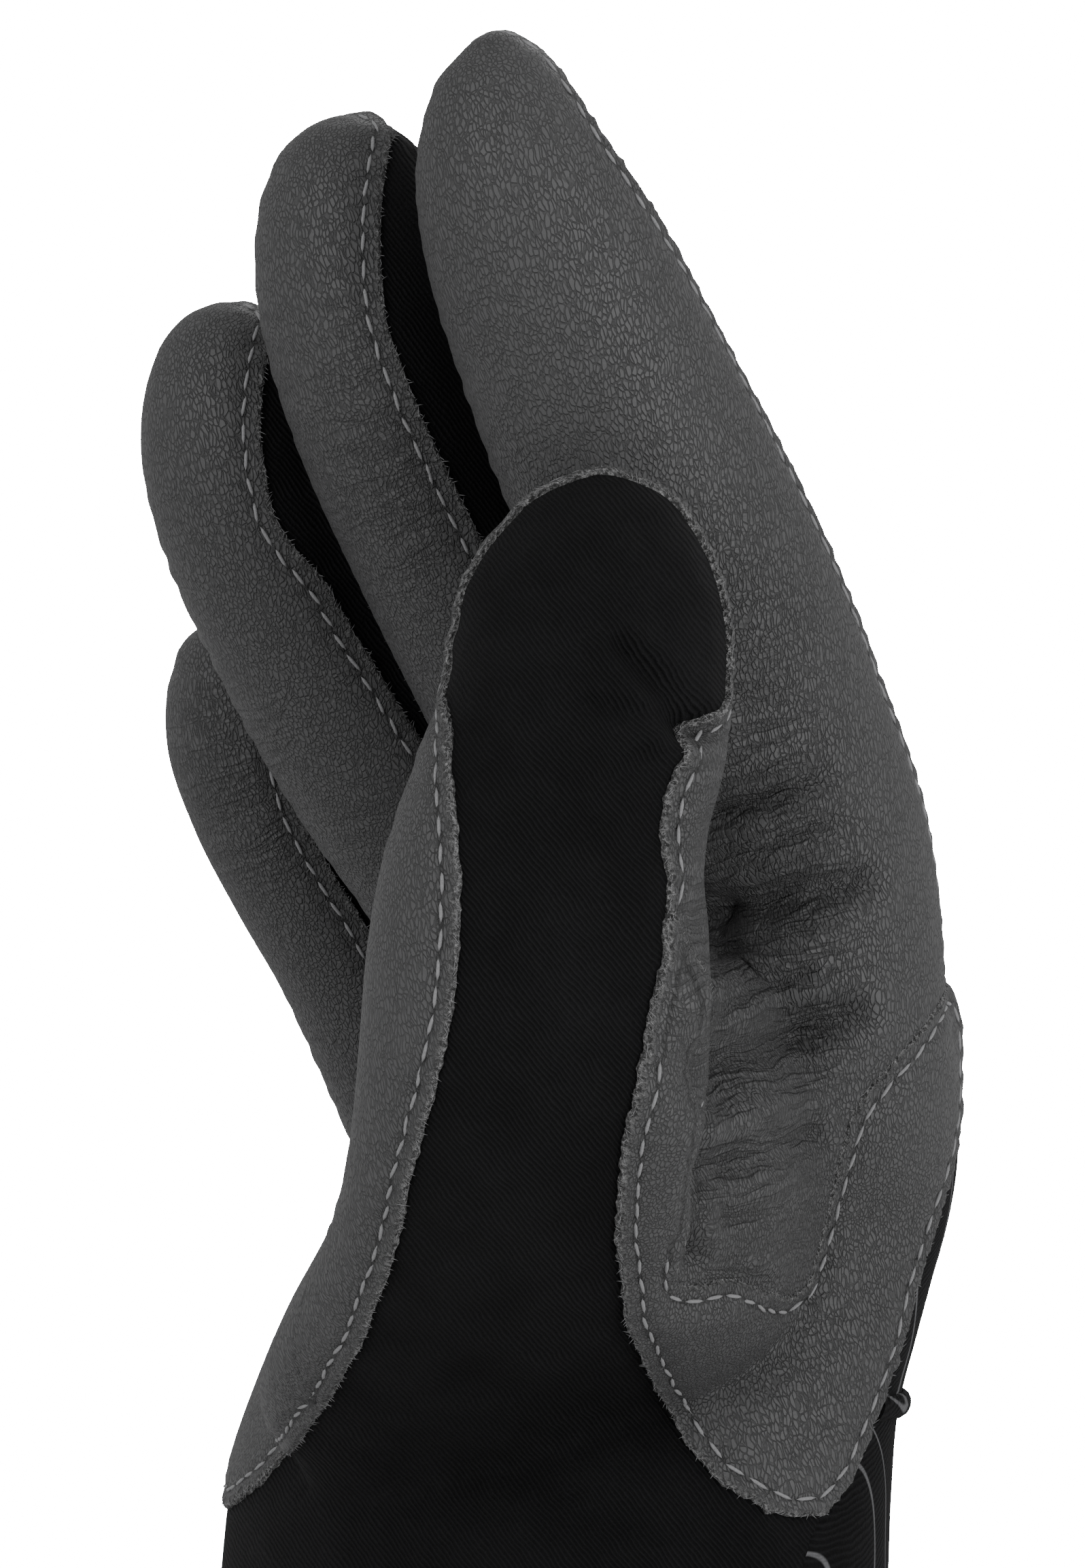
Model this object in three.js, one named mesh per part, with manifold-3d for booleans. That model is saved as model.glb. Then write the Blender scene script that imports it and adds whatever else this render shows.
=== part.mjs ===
// A right-hand glove in leather and stretch fabric, held open as it is worn, with its fingers curled forward.
// Millimetres, +Z from the cuff to the fingertips, +X to the thumb side, +Y to the back of the hand.
// The origin is the middle of the cuff opening.
import * as THREE from "three";
import * as BufferGeometryUtils from "three/addons/utils/BufferGeometryUtils.js";
import Module from "manifold-3d";

const wasm = await Module();
wasm.setup();

// Driving sizes
const PALM_WIDTH = 86;
const PALM_DEPTH = 57;
const PALM_HEIGHT = 92;
const INDEX_LENGTH = 100;
const MIDDLE_LENGTH = 93.5;
const RING_LENGTH = 75;
const PINKY_LENGTH = 53;
const INDEX_WIDTH = 26;
const INDEX_DEPTH = 28.5;
const MIDDLE_WIDTH = 22;
const RING_WIDTH = 21;
const PINKY_WIDTH = 19.5;
const THUMB_LENGTH = 98;
const THUMB_WIDTH = 32;
const THUMB_DEPTH = 27;
const LEATHER_RISE = 0.8;
const LEATHER_WALL = 1.6;
const FABRIC_WALL = 1.2;
const SEAM_GAP = 0.3;
const FOURCHETTE_WIDTH = 12;
const HEM_HEIGHT = 6;
const HEM_RISE = 0.9;
const TUCK_UP = 0.553;
const TUCK_HEIGHT = 2.6;
const TUCK_RISE = 2;
const FOLD_DEPTH = 3;
const SEAM_BLEND = 2.5;
const ULNAR_SEAM = -1;
const TUCK_CLEAR = 0.3;

// How finely the surface is divided
const RING_STEP = 10.5;
const CLOSEST_RINGS = 3.6;
const PALM_SIDES = 24;
const FINGER_SIDES = 11;
const THUMB_SIDES = 15;
const WEB_SIDES = 12;
// Rounds of averaging that keep walls at a crease from running into each other
const EASING_ROUNDS = 2;
// Half the span, as a share of a finger's length, over which its direction is measured
const ALONG_REACH = 0.06;
// Step for measuring the slope of a field, and the least slope used
const SLOPE_STEP = 0.5;
const LEAST_SLOPE = 0.3;
// A cut passes a point no closer than this
const CUT_MARGIN = 0.02;

// The thumb's outer face looks this many degrees round from the palm side
const THUMB_FACE = 50;

// Width of the change from one finger's middle to the next one's
const HALFWAY_BLEND = 2;

const radians = THREE.MathUtils.degToRad;

// Straight interpolation of one column of a table between its rows, by the column named key
function at(rows, key, value, column) {
  if (value <= rows[0][key]) {
    return rows[0][column];
  }
  for (let i = 1; i < rows.length; i += 1) {
    if (value <= rows[i][key]) {
      const share = (value - rows[i - 1][key]) / (rows[i][key] - rows[i - 1][key]);
      return rows[i - 1][column] + (rows[i][column] - rows[i - 1][column]) * share;
    }
  }
  return rows[rows.length - 1][column];
}

// Distance to the right as seen from an azimuth, and distance towards that viewpoint
function across(point, azimuth) {
  return point.x * Math.cos(radians(azimuth)) + point.y * Math.sin(radians(azimuth));
}

function towards(point, azimuth) {
  return point.x * Math.sin(radians(azimuth)) - point.y * Math.cos(radians(azimuth));
}

// Closed tube through oval sections: each has a centre, two half axes and their directions
function loft(sections, sides) {
  const positions = [];
  const index = [];
  const capMiddle = (section) => positions.push(section.centre.x, section.centre.y, section.centre.z);
  sections.forEach((section) => {
    for (let i = 0; i < sides; i += 1) {
      const turn = (2 * Math.PI * i) / sides;
      const point = section.centre.clone()
        .addScaledVector(section.wideAxis, section.wide * Math.cos(turn))
        .addScaledVector(section.deepAxis, section.deep * Math.sin(turn));
      positions.push(point.x, point.y, point.z);
    }
  });
  const rings = sections.length;
  for (let ring = 0; ring + 1 < rings; ring += 1) {
    for (let i = 0; i < sides; i += 1) {
      const a = ring * sides + i;
      const b = ring * sides + ((i + 1) % sides);
      index.push(a, b, a + sides, b, b + sides, a + sides);
    }
  }
  capMiddle(sections[0]);
  capMiddle(sections[rings - 1]);
  const low = rings * sides;
  for (let i = 0; i < sides; i += 1) {
    const next = (i + 1) % sides;
    index.push(low, next, i, low + 1, low - sides + i, low - sides + next);
  }
  const geometry = new THREE.BufferGeometry();
  geometry.setAttribute("position", new THREE.Float32BufferAttribute(positions, 3));
  geometry.setIndex(index);
  return geometry;
}

function toSolid(geometry) {
  const merged = BufferGeometryUtils.mergeVertices(geometry, 1e-4);
  return new wasm.Manifold(new wasm.Mesh({
    numProp: 3,
    vertProperties: new Float32Array(merged.attributes.position.array),
    triVerts: new Uint32Array(merged.index.array),
  }));
}

// Palm and wrist: shares of the palm's height, width and depth, with the middle line's offset to the back
const PALM_TABLE = [
  { up: -0.03, wide: 0.99, deep: 1.01, back: 0.000, slope: 0.00 },
  { up: 0.10, wide: 1.00, deep: 1.02, back: 0.000, slope: 0.00 },
  { up: 0.36, wide: 1.00, deep: 1.02, back: 0.000, slope: 0.00 },
  { up: 0.47, wide: 0.99, deep: 1.00, back: 0.020, slope: 0.00 },
  { up: 0.56, wide: 0.98, deep: 0.94, back: 0.060, slope: 0.00 },
  { up: 0.65, wide: 0.99, deep: 0.87, back: 0.125, slope: 0.00 },
  { up: 0.74, wide: 1.00, deep: 0.79, back: 0.210, slope: 0.00 },
  { up: 0.85, wide: 1.00, deep: 0.71, back: 0.275, slope: 0.00 },
  { up: 0.94, wide: 1.00, deep: 0.66, back: 0.275, slope: 0.02 },
  { up: 1.01, wide: 1.00, deep: 0.60, back: 0.250, slope: 0.05 },
  { up: 1.06, wide: 0.97, deep: 0.48, back: 0.200, slope: 0.09 },
  { up: 1.09, wide: 0.86, deep: 0.28, back: 0.160, slope: 0.10 },
];

// Fingers: a row's place up the finger, how far it has bent forward, and its width and depth, as shares
const INDEX_TABLE = [
  { up: -0.15, fore: -0.060, wide: 0.86, deep: 0.80 },
  { up: 0.00, fore: 0.000, wide: 0.96, deep: 1.00 },
  { up: 0.10, fore: 0.014, wide: 1.00, deep: 1.03 },
  { up: 0.20, fore: 0.036, wide: 1.02, deep: 1.03 },
  { up: 0.31, fore: 0.086, wide: 1.02, deep: 1.02 },
  { up: 0.45, fore: 0.155, wide: 1.00, deep: 1.00 },
  { up: 0.55, fore: 0.217, wide: 0.98, deep: 0.97 },
  { up: 0.63, fore: 0.268, wide: 0.95, deep: 0.93 },
  { up: 0.72, fore: 0.320, wide: 0.91, deep: 0.87 },
  { up: 0.79, fore: 0.358, wide: 0.87, deep: 0.82 },
  { up: 0.84, fore: 0.385, wide: 0.80, deep: 0.74 },
  { up: 0.89, fore: 0.406, wide: 0.69, deep: 0.63 },
  { up: 0.93, fore: 0.415, wide: 0.56, deep: 0.51 },
  { up: 0.97, fore: 0.420, wide: 0.37, deep: 0.34 },
  { up: 1.00, fore: 0.421, wide: 0.10, deep: 0.10 },
];
const MIDDLE_TABLE = [
  { up: -0.15, fore: -0.060, wide: 0.88, deep: 0.86 },
  { up: 0.00, fore: 0.000, wide: 1.00, deep: 1.06 },
  { up: 0.14, fore: 0.060, wide: 1.00, deep: 1.06 },
  { up: 0.27, fore: 0.125, wide: 1.00, deep: 1.05 },
  { up: 0.39, fore: 0.205, wide: 1.01, deep: 1.04 },
  { up: 0.54, fore: 0.305, wide: 1.00, deep: 1.02 },
  { up: 0.69, fore: 0.395, wide: 0.99, deep: 1.00 },
  { up: 0.77, fore: 0.430, wide: 0.98, deep: 0.98 },
  { up: 0.85, fore: 0.452, wide: 0.93, deep: 0.93 },
  { up: 0.91, fore: 0.458, wide: 0.82, deep: 0.82 },
  { up: 0.95, fore: 0.455, wide: 0.67, deep: 0.67 },
  { up: 0.98, fore: 0.450, wide: 0.46, deep: 0.46 },
  { up: 1.00, fore: 0.446, wide: 0.12, deep: 0.12 },
];
const RING_TABLE = [
  { up: -0.15, fore: -0.060, wide: 0.88, deep: 0.86 },
  { up: 0.00, fore: 0.000, wide: 1.00, deep: 1.06 },
  { up: 0.11, fore: 0.060, wide: 1.00, deep: 1.06 },
  { up: 0.25, fore: 0.165, wide: 1.00, deep: 1.05 },
  { up: 0.33, fore: 0.240, wide: 1.01, deep: 1.04 },
  { up: 0.44, fore: 0.330, wide: 1.01, deep: 1.03 },
  { up: 0.58, fore: 0.425, wide: 1.00, deep: 1.02 },
  { up: 0.66, fore: 0.475, wide: 1.00, deep: 1.01 },
  { up: 0.74, fore: 0.515, wide: 0.99, deep: 0.99 },
  { up: 0.82, fore: 0.540, wide: 0.95, deep: 0.95 },
  { up: 0.89, fore: 0.545, wide: 0.85, deep: 0.85 },
  { up: 0.95, fore: 0.540, wide: 0.66, deep: 0.66 },
  { up: 0.98, fore: 0.535, wide: 0.45, deep: 0.45 },
  { up: 1.00, fore: 0.530, wide: 0.12, deep: 0.12 },
];
const PINKY_TABLE = [
  { up: -0.16, fore: -0.070, wide: 0.86, deep: 0.86 },
  { up: 0.00, fore: 0.000, wide: 1.02, deep: 1.08 },
  { up: 0.12, fore: 0.070, wide: 1.02, deep: 1.07 },
  { up: 0.22, fore: 0.130, wide: 1.01, deep: 1.05 },
  { up: 0.34, fore: 0.205, wide: 1.00, deep: 1.04 },
  { up: 0.50, fore: 0.325, wide: 1.00, deep: 1.02 },
  { up: 0.66, fore: 0.430, wide: 1.00, deep: 1.01 },
  { up: 0.79, fore: 0.492, wide: 0.96, deep: 0.96 },
  { up: 0.88, fore: 0.510, wide: 0.83, deep: 0.83 },
  { up: 0.94, fore: 0.512, wide: 0.66, deep: 0.66 },
  { up: 0.98, fore: 0.508, wide: 0.42, deep: 0.42 },
  { up: 1.00, fore: 0.504, wide: 0.12, deep: 0.12 },
];

// Roots of the fingers: shares of the palm's width, height and depth
const fingers = [
  { name: "pinky", side: -0.352, root: 0.89, back: 0.180, length: PINKY_LENGTH, width: PINKY_WIDTH,
    depth: PINKY_WIDTH, table: PINKY_TABLE },
  { name: "ring", side: -0.118, root: 1.00, back: 0.120, length: RING_LENGTH, width: RING_WIDTH,
    depth: RING_WIDTH, table: RING_TABLE },
  { name: "middle", side: 0.130, root: 1.00, back: 0.130, length: MIDDLE_LENGTH, width: MIDDLE_WIDTH,
    depth: MIDDLE_WIDTH, table: MIDDLE_TABLE },
  { name: "index", side: 0.418, root: 1.00, back: 0.090, length: INDEX_LENGTH, width: INDEX_WIDTH,
    depth: INDEX_DEPTH, table: INDEX_TABLE },
];

// Thumb: place up its length, its middle as shares of the thumb's length across and out of its face
const THUMB_ROOT = 0.54 * PALM_HEIGHT;
const THUMB_TABLE = [
  { up: -0.14, side: 0.000, out: 0.060, wide: 1.30, deep: 1.00 },
  { up: -0.05, side: -0.040, out: 0.120, wide: 1.38, deep: 1.14 },
  { up: 0.03, side: -0.078, out: 0.220, wide: 1.36, deep: 1.18 },
  { up: 0.09, side: -0.080, out: 0.320, wide: 1.28, deep: 1.18 },
  { up: 0.16, side: -0.062, out: 0.420, wide: 1.16, deep: 1.14 },
  { up: 0.25, side: -0.040, out: 0.520, wide: 1.06, deep: 1.10 },
  { up: 0.35, side: -0.022, out: 0.590, wide: 1.05, deep: 1.06 },
  { up: 0.43, side: -0.016, out: 0.620, wide: 1.04, deep: 1.03 },
  { up: 0.53, side: -0.012, out: 0.633, wide: 1.01, deep: 1.00 },
  { up: 0.62, side: -0.006, out: 0.640, wide: 0.94, deep: 0.98 },
  { up: 0.69, side: 0.014, out: 0.643, wide: 0.92, deep: 0.97 },
  { up: 0.77, side: 0.034, out: 0.643, wide: 0.87, deep: 0.96 },
  { up: 0.84, side: 0.041, out: 0.643, wide: 0.84, deep: 0.92 },
  { up: 0.90, side: 0.043, out: 0.641, wide: 0.75, deep: 0.82 },
  { up: 0.95, side: 0.049, out: 0.640, wide: 0.56, deep: 0.62 },
  { up: 0.98, side: 0.052, out: 0.640, wide: 0.38, deep: 0.42 },
  { up: 1.00, side: 0.053, out: 0.640, wide: 0.10, deep: 0.10 },
];

// Web between thumb and palm: middle as shares of the palm's width, half axes as shares too
const WEB_TURN = 106;
const WEB_TABLE = [
  { up: 0.44, right: 0.20, back: -0.08, wide: 0.14, deep: 0.10 },
  { up: 0.55, right: 0.22, back: -0.07, wide: 0.17, deep: 0.13 },
  { up: 0.66, right: 0.32, back: -0.15, wide: 0.25, deep: 0.17 },
  { up: 0.76, right: 0.375, back: -0.18, wide: 0.33, deep: 0.17 },
  { up: 0.87, right: 0.405, back: -0.18, wide: 0.33, deep: 0.155 },
  { up: 0.96, right: 0.415, back: -0.18, wide: 0.31, deep: 0.14 },
  { up: 1.04, right: 0.42, back: -0.18, wide: 0.28, deep: 0.11 },
  { up: 1.09, right: 0.42, back: -0.18, wide: 0.20, deep: 0.05 },
];

const FLAT_WIDE = new THREE.Vector3(1, 0, 0);
const FLAT_DEEP = new THREE.Vector3(0, 1, 0);

// Heights of the rings: every row of a table, with even steps between rows that are far apart
function ringPlaces(table, length) {
  const places = [];
  for (let i = 0; i + 1 < table.length; i += 1) {
    const steps = Math.max(1, Math.round(((table[i + 1].up - table[i].up) * length) / RING_STEP));
    for (let step = 0; step < steps; step += 1) {
      places.push(table[i].up + ((table[i + 1].up - table[i].up) * step) / steps);
    }
  }
  places.push(table[table.length - 1].up);
  const apart = (i) => (places[i] - places[i - 1]) * length > CLOSEST_RINGS;
  return places.filter((place, i) => i % 2 === 0 || i === places.length - 1 || apart(i));
}

function palmMiddle(height) {
  return at(PALM_TABLE, "up", height / PALM_HEIGHT, "back") * PALM_DEPTH;
}

// Over this share of the palm's height below a finger's root, the middle line passes into the palm's
const KNUCKLE_BLEND = 0.2;

function fingerMiddle(finger, height) {
  const root = finger.root * PALM_HEIGHT;
  const rootBack = finger.back * PALM_DEPTH;
  if (height >= root) {
    return rootBack - at(finger.table, "up", (height - root) / finger.length, "fore") * finger.length;
  }
  const blend = Math.min(1, (root - height) / (KNUCKLE_BLEND * PALM_HEIGHT));
  return THREE.MathUtils.lerp(rootBack, palmMiddle(height), blend);
}

function palmSections() {
  return ringPlaces(PALM_TABLE, PALM_HEIGHT).map((up) => ({
    centre: new THREE.Vector3(0, at(PALM_TABLE, "up", up, "back") * PALM_DEPTH, up * PALM_HEIGHT),
    wideAxis: new THREE.Vector3(1, 0, at(PALM_TABLE, "up", up, "slope")),
    deepAxis: FLAT_DEEP,
    wide: (at(PALM_TABLE, "up", up, "wide") * PALM_WIDTH) / 2,
    deep: (at(PALM_TABLE, "up", up, "deep") * PALM_DEPTH) / 2,
  }));
}

function fingerSections(finger) {
  const { table, length } = finger;
  const middle = (up) => new THREE.Vector3(
    finger.side * PALM_WIDTH,
    finger.back * PALM_DEPTH - at(table, "up", up, "fore") * length,
    finger.root * PALM_HEIGHT + up * length,
  );
  return ringPlaces(table, length).map((up) => {
    const along = middle(up + ALONG_REACH).sub(middle(up - ALONG_REACH)).normalize();
    return {
      centre: middle(up),
      wideAxis: FLAT_WIDE,
      deepAxis: new THREE.Vector3().crossVectors(along, FLAT_WIDE),
      wide: (at(table, "up", up, "wide") * finger.width) / 2,
      deep: (at(table, "up", up, "deep") * finger.depth) / 2,
    };
  });
}

const THUMB_ACROSS = new THREE.Vector3(Math.cos(radians(THUMB_FACE)), Math.sin(radians(THUMB_FACE)), 0);
const THUMB_OUT = new THREE.Vector3(Math.sin(radians(THUMB_FACE)), -Math.cos(radians(THUMB_FACE)), 0);

function thumbMiddle(height) {
  const up = (height - THUMB_ROOT) / THUMB_LENGTH;
  return new THREE.Vector3(0, 0, height)
    .addScaledVector(THUMB_ACROSS, at(THUMB_TABLE, "up", up, "side") * THUMB_LENGTH)
    .addScaledVector(THUMB_OUT, at(THUMB_TABLE, "up", up, "out") * THUMB_LENGTH);
}

function thumbSections() {
  return ringPlaces(THUMB_TABLE, THUMB_LENGTH).map((up) => ({
    centre: thumbMiddle(THUMB_ROOT + up * THUMB_LENGTH),
    wideAxis: THUMB_ACROSS,
    deepAxis: THUMB_OUT.clone().negate(),
    wide: (at(THUMB_TABLE, "up", up, "wide") * THUMB_WIDTH) / 2,
    deep: (at(THUMB_TABLE, "up", up, "deep") * THUMB_DEPTH) / 2,
  }));
}

function webSections() {
  const wideAxis = new THREE.Vector3(Math.cos(radians(WEB_TURN)), Math.sin(radians(WEB_TURN)), 0);
  const deepAxis = new THREE.Vector3(-wideAxis.y, wideAxis.x, 0);
  return ringPlaces(WEB_TABLE, PALM_HEIGHT).map((up) => ({
    centre: new THREE.Vector3(
      at(WEB_TABLE, "up", up, "right") * PALM_WIDTH,
      at(WEB_TABLE, "up", up, "back") * PALM_WIDTH,
      up * PALM_HEIGHT,
    ),
    wideAxis,
    deepAxis,
    wide: at(WEB_TABLE, "up", up, "wide") * PALM_WIDTH,
    deep: at(WEB_TABLE, "up", up, "deep") * PALM_WIDTH,
  }));
}

// One closed outer form, later cut along the seams
function outerForm() {
  let form = toSolid(loft(palmSections(), PALM_SIDES));
  form = form.add(toSolid(loft(webSections(), WEB_SIDES)));
  form = form.add(toSolid(loft(thumbSections(), THUMB_SIDES)));
  fingers.forEach((finger) => {
    form = form.add(toSolid(loft(fingerSections(finger), FINGER_SIDES)));
  });
  return form.getMesh();
}

// A skin is a list of points with normals and a list of triangles
function skinOf(mesh) {
  const points = [];
  const stride = mesh.numProp;
  for (let i = 0; i < mesh.vertProperties.length; i += stride) {
    points.push({
      place: new THREE.Vector3(...mesh.vertProperties.slice(i, i + 3)),
      normal: new THREE.Vector3(),
    });
  }
  const triangles = [];
  for (let i = 0; i < mesh.triVerts.length; i += 3) {
    triangles.push([mesh.triVerts[i], mesh.triVerts[i + 1], mesh.triVerts[i + 2]]);
  }
  const skin = { points, triangles };
  setNormals(skin);
  return skin;
}

function setNormals(skin) {
  skin.points.forEach((point) => point.normal.set(0, 0, 0));
  skin.triangles.forEach(([a, b, c]) => {
    const first = skin.points[b].place.clone().sub(skin.points[a].place);
    const second = skin.points[c].place.clone().sub(skin.points[a].place);
    const normal = first.cross(second);
    [a, b, c].forEach((i) => skin.points[i].normal.add(normal));
  });
  skin.points.forEach((point) => point.normal.normalize());
  for (let round = 0; round < EASING_ROUNDS; round += 1) {
    easeNormals(skin);
  }
}

function easeNormals(skin) {
  const sums = skin.points.map(({ normal }) => normal.clone());
  skin.triangles.forEach((triangle) => {
    const total = new THREE.Vector3();
    triangle.forEach((i) => total.add(skin.points[i].normal));
    triangle.forEach((i) => sums[i].add(total));
  });
  skin.points.forEach((point, i) => point.normal.copy(sums[i].normalize()));
}

// Main folds on the thumb side, as seen from the thumb's face: each runs from one point to another
const FOLDS = [
  { fromSide: 0.20, fromUp: 1.13, toSide: 0.36, toUp: 1.17, depth: 0.9, width: 0.040 },
  { fromSide: 0.19, fromUp: 0.97, toSide: 0.34, toUp: 1.02, depth: 1.0, width: 0.045 },
  { fromSide: 0.20, fromUp: 0.86, toSide: 0.30, toUp: 0.88, depth: 0.5, width: 0.035 },
  { fromSide: 0.17, fromUp: 1.33, toSide: 0.08, toUp: 1.41, depth: 0.6, width: 0.030 },
  { fromSide: 0.16, fromUp: 0.75, toSide: 0.23, toUp: 0.73, depth: 0.8, width: 0.035 },
];

// Folds lie this far out on the thumb's side of the hand, as a share of the palm's width
const FOLD_SIDE = 0.2;

function foldDepth(point) {
  const facing = point.normal.dot(THUMB_OUT);
  if (facing <= 0 || towards(point.place, THUMB_FACE) < FOLD_SIDE * PALM_WIDTH) {
    return 0;
  }
  const spot = new THREE.Vector2(across(point.place, THUMB_FACE), point.place.z);
  return FOLDS.reduce((sum, fold) => {
    const from = new THREE.Vector2(fold.fromSide * PALM_WIDTH, fold.fromUp * PALM_HEIGHT);
    const to = new THREE.Vector2(fold.toSide * PALM_WIDTH, fold.toUp * PALM_HEIGHT);
    const run = to.clone().sub(from);
    const share = THREE.MathUtils.clamp(spot.clone().sub(from).dot(run) / run.lengthSq(), 0, 1);
    const miss = spot.distanceTo(from.addScaledVector(run, share)) / (fold.width * PALM_WIDTH);
    return sum + FOLD_DEPTH * fold.depth * facing * Math.exp(-miss * miss);
  }, 0);
}

// Divides a field by its slope, so that it reads as a distance along the surface
function asDistance(field) {
  return (place) => {
    const value = field(place);
    const slope = new THREE.Vector3(
      field(place.clone().add(new THREE.Vector3(SLOPE_STEP, 0, 0))) - value,
      field(place.clone().add(new THREE.Vector3(0, SLOPE_STEP, 0))) - value,
      field(place.clone().add(new THREE.Vector3(0, 0, SLOPE_STEP))) - value,
    ).length() / SLOPE_STEP;
    return value / Math.max(slope, LEAST_SLOPE);
  };
}

// Keeps what lies on the positive side of a field, cut cleanly along its zero line
function clip(skin, values) {
  const points = [];
  const kept = new Map();
  const cut = new Map();
  const level = values.map((value) => (
    Math.abs(value) < CUT_MARGIN ? Math.sign(value || 1) * CUT_MARGIN : value
  ));
  const keep = (i) => {
    if (!kept.has(i)) {
      kept.set(i, points.push(skin.points[i]) - 1);
    }
    return kept.get(i);
  };
  const between = (i, j) => {
    const name = i < j ? `${i}_${j}` : `${j}_${i}`;
    if (!cut.has(name)) {
      const share = level[i] / (level[i] - level[j]);
      cut.set(name, points.push({
        place: skin.points[i].place.clone().lerp(skin.points[j].place, share),
        normal: skin.points[i].normal.clone().lerp(skin.points[j].normal, share).normalize(),
      }) - 1);
    }
    return cut.get(name);
  };
  const triangles = [];
  skin.triangles.forEach((triangle) => {
    const outline = [];
    for (let side = 0; side < 3; side += 1) {
      const i = triangle[side];
      const j = triangle[(side + 1) % 3];
      if (level[i] > 0) {
        outline.push(keep(i));
      }
      if (level[i] > 0 !== level[j] > 0) {
        outline.push(between(i, j));
      }
    }
    for (let i = 2; i < outline.length; i += 1) {
      triangles.push([outline[0], outline[i - 1], outline[i]]);
    }
  });
  return { points, triangles };
}

// Splits a skin along a seam and leaves the seam gap between the two parts
function split(skin, field) {
  const values = skin.points.map((point) => field(point.place));
  return [
    clip(skin, values.map((value) => value - SEAM_GAP / 2)),
    clip(skin, values.map((value) => -value - SEAM_GAP / 2)),
  ];
}

// Thickens a skin into a closed wall between two distances along its normals
function wall(skin, outer, inner) {
  const count = skin.points.length;
  const positions = [];
  [outer, inner].forEach((distance) => {
    skin.points.forEach(({ place, normal }) => {
      const point = place.clone().addScaledVector(normal, distance);
      positions.push(point.x, point.y, point.z);
    });
  });
  const index = [];
  const edges = new Map();
  skin.triangles.forEach(([a, b, c]) => {
    index.push(a, b, c, a + count, c + count, b + count);
    [[a, b], [b, c], [c, a]].forEach(([from, to]) => {
      const back = `${to}_${from}`;
      if (edges.has(back)) {
        edges.delete(back);
      } else {
        edges.set(`${from}_${to}`, [from, to]);
      }
    });
  });
  edges.forEach(([from, to]) => {
    index.push(to, from, from + count, to, from + count, to + count);
  });
  const geometry = new THREE.BufferGeometry();
  geometry.setAttribute("position", new THREE.Float32BufferAttribute(positions, 3));
  geometry.setIndex(index);
  return geometry;
}

// Middle surface of the hand: it follows each finger, and changes over halfway to the next one
function handMiddle(place) {
  let middle = fingerMiddle(fingers[0], place.z);
  for (let i = 1; i < fingers.length; i += 1) {
    const halfway = ((fingers[i - 1].side + fingers[i].side) / 2) * PALM_WIDTH;
    const share = THREE.MathUtils.smoothstep(place.x, halfway - HALFWAY_BLEND, halfway + HALFWAY_BLEND);
    middle = THREE.MathUtils.lerp(middle, fingerMiddle(fingers[i], place.z), share);
  }
  return middle;
}

// Back seam on the thumb side, as shares of the palm's height and depth up to the knuckles
const BACK_SEAM = [
  { up: 0.00, back: -0.060 },
  { up: 0.36, back: -0.052 },
  { up: 0.45, back: 0.010 },
  { up: 0.49, back: 0.079 },
  { up: 0.55, back: 0.146 },
  { up: 0.62, back: 0.204 },
  { up: 0.72, back: 0.272 },
  { up: 0.87, back: 0.342 },
  { up: 1.00, back: 0.370 },
  { up: 1.11, back: 0.300 },
];
// Past the knuckles it follows the index finger, as shares of that finger's length and depth
const INDEX_SEAM = [
  { up: 0.10, back: 0.45 },
  { up: 0.40, back: 0.41 },
  { up: 0.75, back: 0.36 },
  { up: 0.90, back: 0.20 },
  { up: 1.00, back: 0.10 },
];

function radialSeam(height) {
  const index = fingers[3];
  const root = index.root * PALM_HEIGHT;
  const low = at(BACK_SEAM, "up", height / PALM_HEIGHT, "back") * PALM_DEPTH;
  const share = at(INDEX_SEAM, "up", (height - root) / index.length, "back");
  const high = fingerMiddle(index, height) + share * index.depth;
  const passed = THREE.MathUtils.smoothstep(height, root, root + INDEX_SEAM[0].up * index.length);
  return THREE.MathUtils.lerp(low, high, passed);
}

// A strip between fingers ends below the tip and is full further down, in shares of its width
const STRIP_END = 0.2;
const STRIP_TAPER = 1.6;

// Half the width of the strip between two fingers: full along the finger, nothing at its tip
function stripHalf(place) {
  const tips = fingers.map((finger) => ({
    x: finger.side * PALM_WIDTH,
    tip: finger.root * PALM_HEIGHT + finger.length,
  }));
  let nearest = tips[0];
  tips.forEach((candidate) => {
    if (Math.abs(candidate.x - place.x) < Math.abs(nearest.x - place.x)) {
      nearest = candidate;
    }
  });
  const run = (nearest.tip - place.z) / FOURCHETTE_WIDTH - STRIP_END;
  const taper = THREE.MathUtils.clamp(run / STRIP_TAPER, 0, 1);
  return (FOURCHETTE_WIDTH / 2) * Math.sqrt(taper);
}

const INDEX_X = fingers[3].side * PALM_WIDTH;
const PINKY_X = fingers[0].side * PALM_WIDTH;

// Positive on the back of the hand
function backField(place) {
  const between = handMiddle(place) + stripHalf(place);
  const radial = THREE.MathUtils.smoothstep(place.x, INDEX_X - SEAM_BLEND, INDEX_X + SEAM_BLEND);
  const ulnar = THREE.MathUtils.smoothstep(-place.x, -PINKY_X - SEAM_BLEND, -PINKY_X + SEAM_BLEND);
  const seam = between * (1 - radial - ulnar) + radialSeam(place.z) * radial
    + (handMiddle(place) + ULNAR_SEAM) * ulnar;
  return place.y - seam;
}

// Positive on the strips between the fingers and on the back
function stripField(place) {
  const inner = place.x > PINKY_X + SEAM_BLEND && place.x < INDEX_X - SEAM_BLEND;
  return inner ? place.y - handMiddle(place) + stripHalf(place) : -PALM_WIDTH;
}

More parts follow.
